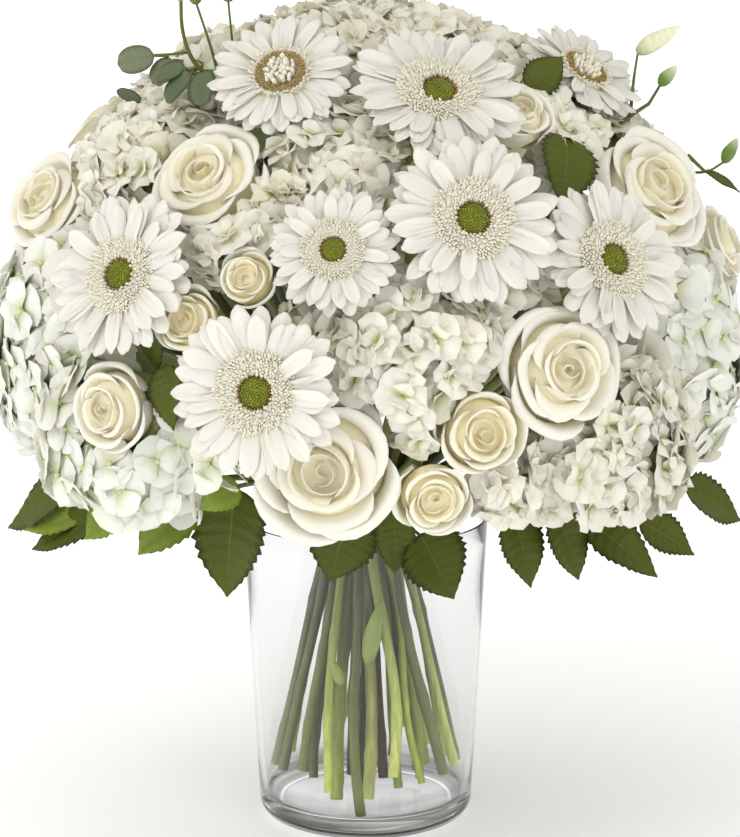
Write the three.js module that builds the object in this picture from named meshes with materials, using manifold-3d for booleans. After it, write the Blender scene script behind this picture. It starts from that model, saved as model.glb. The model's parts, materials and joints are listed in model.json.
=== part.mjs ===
// A white flower arrangement in a tapered clear glass vase, in millimetres, +Z up.
// The origin is the middle of the vase's flat underside and -Y is the front.
// Gerberas, roses and heads of small florets sit on a dome. Their stems pass one narrow waist
// above the vase's mouth and fan out again down to the thick glass floor.
import * as THREE from "three";
import { mergeVertices } from "three/addons/utils/BufferGeometryUtils.js";
import { ParametricGeometry } from "three/addons/geometries/ParametricGeometry.js";
import { ConvexGeometry } from "three/addons/geometries/ConvexGeometry.js";
import Module from "manifold-3d";

const wasm = await Module();
wasm.setup();

// Driving dimensions

const VASE = { height: 188, rim: 74, base: 64, wall: 3.6, floor: 13, corner: 11, innerCorner: 6 };
const DOME = { centre: 270, radius: 228, rise: 226, drop: 92 };
const WAIST = { height: 200, rings: [[12, 10.6], [18, 15.8]], woody: 3.3 };
const FOOT = { spread: 3.5, swirl: 0.3, lowest: 14.1, step: 3.1 };
const STEM = { green: 3.5, wood: 4, fork: 2.7 };
const GAP = 0.4;
const TO_FRONT = new THREE.Vector3(0, -0.972, 0.233);

// Each bloom's place: degrees round the dome from the front, positive to the right, and degrees
// above the dome's widest level. Then the bloom's width, how far its face stands above the dome,
// and the share by which it turns to the front.

const GERBERAS = [
  ["gerbera_front_low", -15, 11, 97, 11, 0.1],
  ["gerbera_front_high", 18, 35, 99, 11, 0.25],
  ["gerbera_left", -40, 25, 95, 9, 0.15],
  ["gerbera_right", 42, 27, 95, 7, 0.1],
  ["gerbera_centre", -5, 31, 74, 9, 0.2],
  ["gerbera_top_right", 19, 57, 101, 9, 0.1],
  ["gerbera_top_left", -25, 61, 84, 9, 0.35],
  ["gerbera_crown_right", 78, 56, 78, 9, 0.25],
  ["gerbera_back_left", -132, 25, 96, 10, 0],
  ["gerbera_back_right", 128, 32, 94, 10, 0],
  ["gerbera_back_top", 178, 58, 98, 10, 0],
];
const ROSES = [
  ["rose_front_low", -6, 0, 94, 1, 0.1],
  ["rose_front_right", 31, 13, 84, 3, 0.15],
  ["rose_upper_left", -34, 43, 80, 1, 0.1],
  ["rose_upper_right", 66, 36, 86, 8, 0.3],
  ["rose_far_left", -76, 32, 76, 7, 0.3],
  ["rose_lower_right", 17, 5, 58, 0, 0.15],
  ["rose_lower_left", -40, 6, 58, 5, 0.15],
  ["rose_top_right", 39, 53, 50, 1, 0.15],
  ["rose_far_right", 84, 23, 58, 9, 0.15],
  ["spray_rose_low", 10, -11, 50, 3, 0.15],
  ["spray_rose_left", -28, 20, 46, 2, 0.15],
  ["spray_rose_centre", -19, 27, 38, 2, 0.15],
  ["rose_back_left", -108, 42, 78, 3, 0],
  ["rose_back_centre", 163, 8, 84, 3, 0],
  ["rose_back_right", 152, 36, 72, 3, 0],
];
const HEADS = [
  ["hydrangea_left_upper", -70, 14, 138, 0, 0],
  ["hydrangea_left_lower", -43, -5, 110, 0, 0.1],
  ["hydrangea_right_upper", 74, 12, 140, 0, 0],
  ["hydrangea_right_lower", 44, -11, 112, 0, 0.1],
  ["stock_centre", 8, 16, 94, 1, 0.1],
  ["stock_left", -66, 47, 100, -2, 0],
  ["stock_left", -94, 62, 98, -4, 0],
  ["stock_inner", -25, 36, 60, -4, 0],
  ["stock_middle", -5, 50, 88, -4, 0],
  ["carnation_top", -58, 79, 104, 0, 0],
  ["carnation_top", 136, 76, 118, -2, 0],
  ["carnation_right", 66, 51, 90, -3, 0],
  ["carnation_right", 100, 62, 104, -3, 0],
  ["hydrangea_back_left", -106, 6, 152, 0, 0],
  ["hydrangea_back_centre", -147, -3, 150, 0, 0],
  ["hydrangea_back_centre", -179, 1, 134, -2, 0],
  ["hydrangea_back_right", 109, 2, 152, 0, 0],
  ["hydrangea_back_right", 143, -3, 138, 0, 0],
  ["stock_back", -150, 45, 118, -2, 0],
  ["stock_back", 175, 31, 118, -4, 0],
];
const WOODY = ["stock_middle", "carnation_top", "stock_back"];
const FORKS = {
  spray_rose_centre: "rose_lower_left",
  spray_rose_left: "rose_lower_left",
  spray_rose_low: "rose_lower_right",
  stock_inner: "stock_centre",
  rose_far_right: "rose_upper_right",
  rose_top_right: "rose_front_right",
  rose_back_right: "rose_back_centre",
};

// Leafy stems, by places given as degrees round, distance from the axis and height. A leaf has
// the start of its stalk, its root, its tip, its width and the way it faces.

const LEAFY = {
  leaves_left: {
    twigs: [[2, [-64, 21, 213], [-62, 90, 221], [-64, 150, 220], [-68, 180, 219]]],
    leaves: [
      [[-66, 165, 220], [-68, 184, 221], [-79, 220, 193], 40, [-60, 1]],
      [[-63, 140, 220], [-57, 176, 214], [-70, 212, 188], 34, [-40, 1.1]],
      [[-62, 120, 221], [-50, 178, 226], [-53, 205, 206], 34, [-30, 0.9]],
    ],
  },
  leaves_front_left: {
    twigs: [[2, [-33, 22, 216], [-33, 70, 226], [-33, 115, 232], [-31, 130, 236]]],
    leaves: [
      [[-32, 118, 233], [-29, 152, 238], [-31, 159, 173], 46, [-24, 0.25]],
      [[-33, 100, 230], [-37, 160, 229], [-46, 194, 206], 34, [-24, 0.9]],
    ],
  },
  leaves_front: {
    twigs: [[2, [-4, 22, 216], [-4, 50, 221], [-2, 74, 221]]],
    leaves: [
      [[-4, 50, 221], [-5, 98, 216], [-12, 101, 172], 42, [-4, 0.2]],
      [[-2, 68, 221], [9, 106, 217], [9, 111, 180], 24, [10, 0.3]],
      [[-2, 72, 221], [17, 106, 202], [26, 120, 165], 40, [20, 0.3]],
    ],
  },
  leaves_right: {
    twigs: [[2, [50, 22, 214], [46, 90, 222], [48, 130, 221], [62, 172, 214], [70, 186, 214]]],
    leaves: [
      [[46, 96, 222], [35, 146, 222], [38, 158, 176], 28, [26, 0.35]],
      [[48, 128, 221], [43, 160, 222], [46, 174, 180], 30, [34, 0.35]],
      [[50, 138, 220], [50, 166, 212], [57, 204, 181], 32, [38, 0.6]],
      [[58, 162, 216], [61, 182, 206], [66, 212, 187], 28, [44, 0.7]],
      [[68, 183, 214], [74, 196, 216], [79, 230, 197], 38, [56, 1]],
    ],
  },
  sprig_right: {
    twigs: [
      [2, [78, 22, 214], [72, 70, 330], [70, 130, 416], [77, 158, 436], [82, 167, 441]],
      [1.2, [81, 165, 440], [84, 173, 456], [84, 170, 470]],
      [1.2, [82, 167, 441], [82, 174, 453]],
      [1.2, [82, 165, 440], [87, 200, 397], [87, 212, 405]],
    ],
    leaves: [
      [[70, 124, 408], [51, 152, 438], [41, 180, 409], 34, [45, 1]],
      [[71, 132, 417], [57, 112, 457], [67, 130, 480], 24, [20, 0.7]],
      [[86, 190, 409], [87, 200, 399], [87, 222, 388], 10, [60, 0.9]],
    ],
    buds: [
      [12, [84, 169, 468], [84, 184, 486]],
      [8, [82, 173, 452], [82, 183, 464]],
      [8, [87, 211, 404], [87, 219, 419]],
    ],
  },
  sprig_left: {
    twigs: [
      [1.8, [-62, 22, 214], [-64, 66, 340], [-64, 90, 430], [-69, 99, 466], [-72, 112, 504]],
      [1.2, [-69, 98, 463], [-70, 112, 468], [-72, 128, 468]],
      [1.2, [-64, 90, 432], [-66, 97, 480], [-70, 104, 502]],
      [1.2, [-64, 88, 428], [-62, 86, 470], [-64, 88, 504]],
    ],
    leaves: [
      [[-71, 120, 468], [-72, 128, 468], [-75, 148, 475], 18, [-20, 0.2]],
      [[-70, 112, 468], [-71, 117, 469], [-72, 130, 456], 14, [-20, 0.3]],
      [[-69, 101, 465], [-68, 112, 462], [-64, 99, 446], 15, [-20, 0.4]],
    ],
    buds: [
      [9, [-72, 112, 503], [-72, 113, 515]],
      [8, [-70, 104, 501], [-70, 105, 513]],
      [10, [-64, 88, 503], [-64, 88, 516]],
    ],
  },
};
const SERRATED = [0.62, 0.88, 0.76, 1, 0.7, 0.74, 0.36];
const ROUND = [0.75, 1, 0.75];
const LEAF = { thick: 1.3, fold: 0.2, arch: 0.1, stalk: 1.3 };

const COLOURS = {
  petal: [0xf7f6f1, 0.55],
  rose: [0xf5efdc, 0.5],
  floret: [0xf1f2e6, 0.6],
  disc: [0x7d8a1e, 0.8],
  stem: [0x7f9f3c, 0.45],
  wood: [0x5a4a3a, 0.7],
  leaf: [0x42581f, 0.45],
  eucalyptus: [0x6f8468, 0.6],
  glass: [0xeef3f3, 0.05],
};

// Small helpers

const radians = THREE.MathUtils.degToRad;
const vector = (x, y, z) => new THREE.Vector3(x, y, z);
const listOf = (count, make) => Array.from({ length: count }, (_, k) => make(k));

/** A point by degrees round from the front, distance from the axis and height. */
function around([turn, radius, height]) {
  const a = radians(turn);
  return vector(radius * Math.sin(a), -radius * Math.cos(a), height);
}

/** A fixed share from 0 to 1 for each number, for small irregularities. */
function scatter(n) {
  const s = Math.sin(n * 127.1 + 11.7) * 43758.5453;
  return s - Math.floor(s);
}

function materialOf(name) {
  const [color, roughness] = COLOURS[name];
  const clear = name === "glass";
  const opacity = clear ? 0.35 : 1;
  return new THREE.MeshStandardMaterial({ color, roughness, transparent: clear, opacity });
}

// Between three.js geometry and solids

/** A solid from a closed geometry, with its faces turned outwards. */
function solid(geometry) {
  const bare = geometry.index ? geometry.toNonIndexed() : geometry.clone();
  bare.deleteAttribute("normal");
  bare.deleteAttribute("uv");
  const merged = mergeVertices(bare, 1e-3);
  const corners = listOf(merged.index.count / 3, (i) =>
    [0, 1, 2].map((k) => merged.index.getX(i * 3 + k)),
  ).filter(([a, b, c]) => a !== b && b !== c && a !== c);
  const build = (triangles) =>
    new wasm.Manifold(
      new wasm.Mesh({
        numProp: 3,
        vertProperties: new Float32Array(merged.attributes.position.array),
        triVerts: new Uint32Array(triangles.flat()),
      }),
    );
  const made = build(corners);
  return made.volume() >= 0 ? made : build(corners.map(([a, b, c]) => [b, a, c]));
}

function geometryOf(body) {
  const { vertProperties, numProp, numVert, triVerts } = body.getMesh();
  const positions = new Float32Array(numVert * 3);
  for (let i = 0; i < numVert; i++) {
    positions.set(vertProperties.subarray(i * numProp, i * numProp + 3), i * 3);
  }
  const geometry = new THREE.BufferGeometry();
  geometry.setAttribute("position", new THREE.BufferAttribute(positions, 3));
  geometry.setIndex(new THREE.BufferAttribute(new Uint32Array(triVerts), 1));
  geometry.computeVertexNormals();
  return geometry;
}

const placed = (geometry, matrix) => solid(geometry.clone().applyMatrix4(matrix));

const joined = (bodies) => bodies.reduce((all, one) => all.add(one));

/** The largest of a solid's separate bodies: what cutting leaves loose is dropped. */
function largest(body) {
  const parts = body.decompose();
  return parts.reduce((best, part) => (part.volume() > best.volume() ? part : best));
}

function boxesMeet(a, b) {
  const p = a.boundingBox();
  const q = b.boundingBox();
  return [0, 1, 2].every((k) => p.min[k] < q.max[k] && q.min[k] < p.max[k]);
}

/** A body cut clear of each of the others that its box meets. */
function clearOf(body, others) {
  return others.reduce((left, other) => (boxesMeet(left, other) ? left.subtract(other) : left), body);
}

/** A convex solid that stays clear of a body all round. */
function hullRound(body, margin) {
  const { vertProperties, numProp, numVert } = body.getMesh();
  const points = listOf(numVert, (i) => vector().fromArray(vertProperties, i * numProp));
  const middle = vector();
  points.forEach((point) => middle.addScaledVector(point, 1 / numVert));
  points.forEach((point) => point.addScaledVector(point.clone().sub(middle).normalize(), margin));
  return solid(new ConvexGeometry(points));
}

// Closed surfaces

/** A closed surface over rings of points, with one point at each end. */
function skin(start, rings, end) {
  const slices = rings[0].length;
  const stacks = rings.length + 1;
  return new ParametricGeometry(
    (u, v, target) => {
      const i = Math.round(v * stacks);
      if (i === 0) return target.copy(start);
      if (i === stacks) return target.copy(end);
      return target.copy(rings[i - 1][Math.round(u * slices) % slices]);
    },
    slices,
    stacks,
  );
}

/** A ring of points from a function that gives each slice its turn, radius and height. */
function ring(slices, at) {
  return listOf(slices, (slice) => {
    const { turn, radius, z } = at(slice);
    return vector(radius * Math.cos(turn), radius * Math.sin(turn), z);
  });
}

const circle = (sides, radius, z) =>
  ring(sides, (slice) => ({ turn: (slice / sides) * Math.PI * 2, radius, z }));

/** A four-sided tube with a ring at each of the given points, and with one edge set outwards. */
function tube(points, radius, outwards = vector(0.31, 1, 0.17)) {
  const last = points.length - 1;
  const across = outwards.clone();
  const rings = points.map((point, i) => {
    const before = points[Math.max(i - 1, 0)];
    const along = points[Math.min(i + 1, last)].clone().sub(before).normalize();
    across.projectOnPlane(along).normalize();
    const other = along.cross(across);
    return circle(4, radius, 0).map((corner) =>
      point.clone().addScaledVector(across, corner.x).addScaledVector(other, corner.y),
    );
  });
  return skin(points[0], rings, points[last]);
}

// The dome and what stands on it

function domePoint(azimuth, elevation) {
  const e = radians(elevation);
  const rise = elevation >= 0 ? DOME.rise : DOME.drop;
  return around([azimuth, DOME.radius * Math.cos(e), DOME.centre + rise * Math.sin(e)]);
}

function domeNormal(azimuth, elevation) {
  const p = domePoint(azimuth, elevation);
  const rise = elevation >= 0 ? DOME.rise : DOME.drop * 1.6;
  const r2 = DOME.radius ** 2;
  return vector(p.x / r2, p.y / r2, (p.z - DOME.centre) / rise ** 2).normalize();
}

/** A bloom's carrier: the group's origin is the bloom's foot and its +Z faces outwards. */
function standing([name, azimuth, elevation, width, lift, toFront], height, sole = 0) {
  const normal = domeNormal(azimuth, elevation).lerp(TO_FRONT, toFront).normalize();
  const carrier = new THREE.Group();
  carrier.position.copy(domePoint(azimuth, elevation)).addScaledVector(normal, lift - height);
  carrier.quaternion.setFromUnitVectors(vector(0, 0, 1), normal);
  carrier.updateMatrixWorld();
  return { name, width, normal, carrier, sole, azimuth, polar: 90 - elevation };
}

// Gerbera: strap petals in an upper and a lower layer, a raised frill and a green middle

const PETALS = 14;
const gerberaHeight = (width) => 9 + width * 0.07;

function gerberaPetals(width) {
  const R = width / 2;
  const rise = gerberaHeight(width);
  const slices = PETALS * 3;
  const turnOf = (slice) => {
    const across = [0, 0.11, 0.89][slice % 3];
    return ((Math.floor(slice / 3) + across) / PETALS) * Math.PI * 2;
  };
  const edge = ring(slices, (slice) => {
    const turn = turnOf(slice);
    if (slice % 3 === 0) return { turn, radius: 0.42 * R, z: rise - 8 };
    const upper = Math.floor(slice / 3) % 2;
    return { turn, radius: (upper ? 0.91 : 1) * R, z: rise - 2 + upper * 2.6 };
  });
  const root = ring(slices, (slice) => ({ turn: turnOf(slice), radius: 0.38 * R, z: rise - 5.4 }));
  const frill = ring(slices, (slice) => {
    const share = slice % 3 ? 0.45 : 0.5;
    return { turn: turnOf(slice), radius: share * R, z: rise - 2.4 };
  });
  return skin(vector(0, 0, 0), [edge, root, frill], vector(0, 0, rise - 3));
}

function gerberaDisc(width) {
  const r = width * 0.098;
  const z = gerberaHeight(width) - 2.2;
  const beads = 8;
  const bead = (share, level) =>
    ring(beads, (slice) => ({
      turn: (slice / beads) * Math.PI * 2,
      radius: r * share * (slice % 2 ? 1 : 0.9),
      z: z + level,
    }));
  return skin(vector(0, 0, z), [bead(1, 0.6), bead(0.78, 3)], vector(0, 0, z + 3.4));
}

function gerberaEnvelope(width) {
  const R = width * 0.546 + 1;
  const rise = gerberaHeight(width);
  const rims = [...circle(8, R, rise - 4.6), ...circle(8, R, rise + 1.8)];
  return new ConvexGeometry([vector(0, 0, -0.8), ...rims]);
}

// Rose: cups of five lapping petals, each cup turned against the one outside it, round a bud

const LOBES = 5;
const roseHeight = (width) => 8 + width * 0.5;

function rose(width) {
  const R = width / 2;
  const H = roseHeight(width);
  const slices = LOBES * 3;
  const lip = (reach, level, shift, wave) =>
    ring(slices, (slice) => {
      const part = (slice + shift) % 3;
      const dip = part ? 0 : wave;
      return {
        turn: ((slice + [0, -0.25, 0.25][part]) / slices) * Math.PI * 2,
        radius: R * reach * (1 - dip),
        z: H * (level - dip * 0.55),
      };
    });
  const trough = (reach, level) => circle(slices, R * reach, H * level);
  const outer = [trough(0.6, 0.3), lip(1, 0.6, 0, 0.14), trough(0.68, 0.52)];
  const small = [lip(0.72, 0.88, 1, 0.14), trough(0.4, 0.7), lip(0.34, 1, 2, 0.16)];
  const large = [
    lip(0.78, 0.82, 1, 0.13),
    trough(0.5, 0.66),
    lip(0.52, 0.97, 2, 0.12),
    trough(0.26, 0.78),
    lip(0.2, 1, 0, 0.2),
  ];
  const inner = width < 80 ? small : large;
  return skin(vector(0, 0, 0), [...outer, ...inner], vector(0, 0, H * 0.86));
}

function roseEnvelope(width) {
  const H = roseHeight(width);
  const rim = (share, level) => circle(8, (width / 2) * share * 1.08 + 0.6, H * level);
  return new ConvexGeometry([vector(0, 0, -0.6), ...rim(1, 0.5), ...rim(1, 0.66), ...rim(0.6, 1.02)]);
}

// Head: pointed florets set over it in a spiral, raised at their tips and sunk between each other

const headHeight = (width) => width * 0.42;
const headSole = (width) => -0.1 * width;

function head(width, seed) {
  const R = width / 2;
  const level = headHeight(width) * 0.3;
  const count = Math.round(width / 8);
  const sole = vector(0, 0, -1);
  const at = (direction, share) => {
    const { x, y, z } = direction.clone().normalize();
    const grain = scatter(Math.round((x * 7 + y * 11 + z * 13) * 50) + seed) * 0.07;
    const reach = share + grain;
    const up = z > 0 ? headHeight(width) * 0.7 : R * 0.42;
    return vector(x * R * reach, y * R * reach, level + z * up * reach);
  };
  const centres = listOf(count, (k) => {
    const z = 1 - ((k + 0.5) / count) * 1.28;
    const turn = k * 2.39996 + seed;
    const r = Math.sqrt(1 - z * z);
    return vector(r * Math.cos(turn), r * Math.sin(turn), z);
  });
  const hull = new ConvexGeometry([...centres, sole]).getAttribute("position");
  const isSole = (corner) => corner.z < -0.99;
  const place = (corner) => (isSole(corner) ? vector(0, 0, headSole(width)) : at(corner, 0.93));
  const points = [];
  for (let i = 0; i < hull.count; i += 3) {
    const corners = [0, 1, 2].map((k) => vector().fromBufferAttribute(hull, i + k));
    const middle = corners[0].clone().add(corners[1]).add(corners[2]);
    const gap = at(middle, corners.some(isSole) ? 0.66 : 0.72);
    corners.forEach((corner, k) => {
      const next = corners[(k + 1) % 3];
      if (isSole(corner) || isSole(next)) {
        points.push(place(corner), place(next), gap);
        return;
      }
      const tip = at(corner.clone().add(next), 0.99);
      points.push(place(corner), tip, gap, tip, place(next), gap);
    });
  }
  return new THREE.BufferGeometry().setFromPoints(points);
}

// Stems

/** A place at the waist, at a radius and a share of the way round. */
const waistPlace = (radius, share) =>
  new THREE.Vector2(radius, 0).rotateAround(new THREE.Vector2(), share * Math.PI * 2);

/** Two rings of places at the waist, near enough for the stems in neighbouring places to touch. */
function waistPlaces() {
  return WAIST.rings.flatMap(([count, radius]) =>
    listOf(count, (k) => waistPlace(radius, (k + 0.5) / count)),
  );
}

/** Gives each bloom the free place that lies nearest to the bloom's own direction. */
function shareWaist(blooms) {
  const free = waistPlaces();
  const outer = free.at(-1).length();
  for (const bloom of [...blooms].sort((p, q) => q.polar - p.polar)) {
    const { x, y } = around([bloom.azimuth, outer * Math.min(1, Math.sqrt(bloom.polar / 96)), 0]);
    const wanted = new THREE.Vector2(x, y);
    free.sort((p, q) => p.distanceTo(wanted) - q.distanceTo(wanted));
    bloom.place = free.shift();
  }
}

/** A point on the straight way from the waist down to the vase's floor. */
function belowWaist(place, share, z) {
  const origin = new THREE.Vector2();
  const turned = place.clone().rotateAround(origin, FOOT.swirl * share);
  const { x, y } = turned.multiplyScalar(1 + (FOOT.spread - 1) * share);
  return vector(x, y, z);
}

/** A stem's way from its foot, or from its parent's waist if it forks, to its bloom. */
function stemWay(bloom, order, parent) {
  const { place } = parent ?? bloom;
  const waist = vector(place.x, place.y, WAIST.height);
  const outward = place.length() / WAIST.rings[1][1];
  const rise = order ? FOOT.step * (scatter(order + 3) * 4 + 4 * outward ** 4) : 0;
  const foot = belowWaist(place, 1, FOOT.lowest + rise);
  const { position } = bloom.carrier;
  const tip = position.clone().addScaledVector(bloom.normal, bloom.sole - GAP);
  const neck = position.clone().addScaledVector(bloom.normal, bloom.sole - 34);
  return parent ? [waist, neck, tip] : [foot, waist, neck, tip];
}

function parentOf(bloom, blooms) {
  const first = blooms.find((other) => other.name === bloom.name);
  if (first !== bloom) return first;
  return blooms.find((other) => other.name === FORKS[bloom.name]);
}

// Leaves and sprigs

/** A folded leaf with its stalk as one thin closed surface. */
function leaf([start, base, end, width, [turn, lift]], shape) {
  const [from, root, tip] = [start, base, end].map(around);
  const along = tip.clone().sub(root);
  const length = along.length();
  const y = along.normalize();
  const x = vector().crossVectors(y, around([turn, 1, lift])).normalize();
  const z = vector().crossVectors(x, y);
  const reach = root.clone().sub(from).normalize();
  const side = vector().crossVectors(x, reach).normalize();
  const cross = (centre, half, up, fold, thick) =>
    [
      [half, fold],
      [0, thick / 2],
      [-half, fold],
      [0, -thick / 2],
    ].map(([a, b]) => centre.clone().addScaledVector(x, a).addScaledVector(up, b));
  const station = (t) =>
    root.clone().addScaledVector(y, length * t).addScaledVector(z, -LEAF.arch * length * t * t);
  const blade = shape.map((share, i) => {
    const half = (share * width) / 2;
    return cross(station((i + 0.6) / (shape.length + 0.6)), half, z, LEAF.fold * half, LEAF.thick);
  });
  const stalk = [from, root].map((point) => cross(point, LEAF.stalk, side, 0, LEAF.stalk * 2));
  const room = leafEnvelope({ width, length, place: [x, y, z, root] });
  return {
    body: solid(skin(from, [...stalk, ...blade], station(1))),
    envelope: room.add(solid(tube([from, root], LEAF.stalk * 1.42 + 0.9))),
  };
}

/** A flat convex solid round a leaf's blade. */
function leafEnvelope({ width, length, place: [x, y, z, root] }) {
  const stations = [
    [-0.01, 0.05],
    [0.12, 0.5],
    [0.7, 0.52],
    [0.9, 0.28],
    [1.01, 0.05],
  ];
  const points = stations.flatMap(([t, share]) => {
    const half = share * width + 1;
    const drop = -LEAF.arch * length * t * t;
    return [-1, 1].flatMap((side) =>
      [-1.7, 1.7 + 0.1 * width].map((up) => vector(side * half, length * t, drop + up)),
    );
  });
  const matrix = new THREE.Matrix4().makeBasis(x, y, z).setPosition(root);
  return placed(new ConvexGeometry(points), matrix);
}

function twig([radius, ...places]) {
  const points = places.map(around);
  return { body: solid(tube(points, radius)), envelope: solid(tube(points, radius + 0.9)) };
}

/** A closed bud from its foot to its tip. */
function bud([width, ...ends]) {
  const [foot, tip] = ends.map(around);
  const length = foot.distanceTo(tip);
  const rings = [circle(6, width * 0.5, length * 0.34), circle(6, width * 0.36, length * 0.72)];
  const up = vector(0, 0, 1);
  const matrix = new THREE.Matrix4().compose(
    foot,
    new THREE.Quaternion().setFromUnitVectors(up, tip.clone().sub(foot).normalize()),
    vector(1, 1, 1),
  );
  const body = placed(skin(vector(0, 0, 0), rings, vector(0, 0, length)), matrix);
  return { body, envelope: hullRound(body, 0.6) };
}

// Vase

function vaseBody() {
  const { height, rim, base, wall, floor, corner, innerCorner } = VASE;
  const side = (z, inset = 0) => base + ((rim - base) * z) / height - inset;
  const arc = (r, z, radius, from, to) =>
    listOf(3, (k) => {
      const a = radians(from + ((to - from) * k) / 2);
      return new THREE.Vector2(r + radius * Math.cos(a), z + radius * Math.sin(a));
    });
  const profile = [
    new THREE.Vector2(0, 0),
    ...arc(side(corner) - corner, corner, corner, -90, 0),
    ...arc(side(height) - wall / 2, height - wall / 2, wall / 2, 0, 180),
    ...arc(side(floor, wall) - innerCorner, floor + innerCorner, innerCorner, 0, -90),
    new THREE.Vector2(0, floor),
  ];
  return solid(new THREE.LatheGeometry(profile, 28).rotateX(Math.PI / 2));
}

// All together: what comes later is cut clear of the stems and of the blooms before it

const bouquet = new THREE.Group();
const taken = [];

function add(name, body, colour, carrier = new THREE.Group()) {
  const home = carrier.matrixWorld.clone().invert();
  const mesh = new THREE.Mesh(geometryOf(body).applyMatrix4(home), materialOf(colour));
  mesh.name = name;
  mesh.position.copy(carrier.position);
  mesh.quaternion.copy(carrier.quaternion);
  bouquet.add(mesh);
}

const gerberas = GERBERAS.map((row) => standing(row, gerberaHeight(row[3])));
const roses = ROSES.map((row) => standing(row, roseHeight(row[3])));
const heads = HEADS.map((row) => standing(row, headHeight(row[3]), headSole(row[3])));
const blooms = [...gerberas, ...roses, ...heads];

const isWoody = (bloom) => WOODY.includes(bloom.name);
const isFork = (bloom) => parentOf(bloom, blooms) !== undefined;
shareWaist(blooms.filter((bloom) => !isWoody(bloom) && !isFork(bloom)));
blooms.filter((bloom) => isWoody(bloom) && !isFork(bloom)).forEach((bloom, k) => {
  bloom.place = waistPlace(WAIST.woody, k / WOODY.length);
});
const stems = blooms.map((bloom, order) => {
  const wood = isWoody(bloom);
  const full = wood ? STEM.wood : STEM.green;
  const radius = isFork(bloom) ? STEM.fork : full;
  const parent = parentOf(bloom, blooms);
  const way = stemWay(bloom, order, parent);
  const { x, y } = (parent ?? bloom).place;
  const tubeOf = (size) => solid(tube(way, size, vector(x, y, 0)));
  return { wood, body: tubeOf(radius), socket: tubeOf(radius + 0.9) };
});
const pick = (wood, key) => stems.filter((stem) => stem.wood === wood).map((stem) => stem[key]);
const sockets = stems.map((stem) => stem.socket);

for (const { name, width, carrier } of gerberas) {
  const matrix = carrier.matrixWorld;
  const petals = clearOf(placed(gerberaPetals(width), matrix), [...taken, ...sockets]);
  add(`${name}_petals`, largest(petals), "petal", carrier);
  add(`${name}_centre`, placed(gerberaDisc(width), matrix), "disc", carrier);
  taken.push(placed(gerberaEnvelope(width), matrix));
}
for (const { name, width, carrier } of roses) {
  const matrix = carrier.matrixWorld;
  const body = clearOf(placed(rose(width), matrix), [...taken, ...sockets]);
  add(name, largest(body), "rose", carrier);
  taken.push(placed(roseEnvelope(width), matrix));
}
for (const [name, { twigs, leaves, buds = [] }] of Object.entries(LEAFY)) {
  const round = name === "sprig_left";
  const parts = [
    ...twigs.map(twig),
    ...leaves.map((row) => leaf(row, round ? ROUND : SERRATED)),
    ...buds.map(bud),
  ];
  const body = clearOf(joined(parts.map((part) => part.body)), [...taken, ...sockets]);
  add(name, largest(body), round ? "eucalyptus" : "leaf");
  taken.push(...parts.map((part) => part.envelope));
}
for (const name of new Set(heads.map((one) => one.name))) {
  const group = heads.filter((one) => one.name === name);
  const parts = group.map((one, k) => placed(head(one.width, k + name.length), one.carrier.matrixWorld));
  const body = clearOf(joined(parts), [...taken, ...sockets]);
  add(name, largest(body), "floret", group[0].carrier);
  taken.push(...parts.map((part) => hullRound(part, 1)));
}
add("stems_green", largest(clearOf(joined(pick(false, "body")), pick(true, "socket"))), "stem");
add("stems_woody", largest(joined(pick(true, "body"))), "wood");
add("vase", vaseBody(), "glass");

export default bouquet;
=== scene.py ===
"""A white flower arrangement in a tapered clear glass vase, dressed for pictures.

Gerberas, roses and heads of small florets stand on one dome. Each bloom gets real petals in place of
its plain solid, and the leaves, sprigs, stems and vase are redrawn with their veins, teeth and bark.
Tables are in millimetres, meshes in metres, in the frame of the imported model.
"""

import cmath
import json
import logging
from dataclasses import dataclass, field
from enum import Enum
from functools import cache, cached_property
from math import cos, exp, pi, radians, sin, sqrt
from random import Random
from typing import Any, Callable, ClassVar, Iterable, Sequence

import bmesh
import bpy
from bpy.types import Material, Mesh, Node, NodeSocket, NodeTree, Object
from mathutils import Matrix, Vector
from mathutils.bvhtree import BVHTree

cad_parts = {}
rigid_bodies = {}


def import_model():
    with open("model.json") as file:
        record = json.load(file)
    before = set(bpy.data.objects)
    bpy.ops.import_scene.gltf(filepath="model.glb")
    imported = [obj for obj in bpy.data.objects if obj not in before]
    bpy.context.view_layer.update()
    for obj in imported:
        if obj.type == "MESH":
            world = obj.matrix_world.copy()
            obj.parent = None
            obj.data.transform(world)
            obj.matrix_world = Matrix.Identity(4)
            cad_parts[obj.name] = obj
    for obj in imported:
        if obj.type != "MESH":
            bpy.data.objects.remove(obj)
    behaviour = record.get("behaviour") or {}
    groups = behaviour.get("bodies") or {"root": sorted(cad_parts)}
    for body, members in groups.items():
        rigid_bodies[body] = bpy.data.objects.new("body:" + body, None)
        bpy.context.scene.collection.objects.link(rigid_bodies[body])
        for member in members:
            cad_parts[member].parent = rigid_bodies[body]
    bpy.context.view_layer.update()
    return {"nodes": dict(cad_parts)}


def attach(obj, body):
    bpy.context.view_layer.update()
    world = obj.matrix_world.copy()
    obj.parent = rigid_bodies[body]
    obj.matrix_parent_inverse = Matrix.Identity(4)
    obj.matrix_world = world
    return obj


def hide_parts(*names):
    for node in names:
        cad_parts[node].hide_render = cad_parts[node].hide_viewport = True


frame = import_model()

LOG = logging.getLogger("centerpiece")
MM = 0.001
GOLDEN = pi * (3 - sqrt(5))
UP = Vector((0, 0, 1))
Colour = tuple[float, float, float, float]
Spot = tuple[float, float, float]
Ring = tuple[int, float, float, float]
Grid = list[list[Vector]]
Profile = list[tuple[float, float]]
Line = list[tuple[Vector, float, float]]
Draw = Callable[[float, float], float]


# Small helpers


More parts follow.
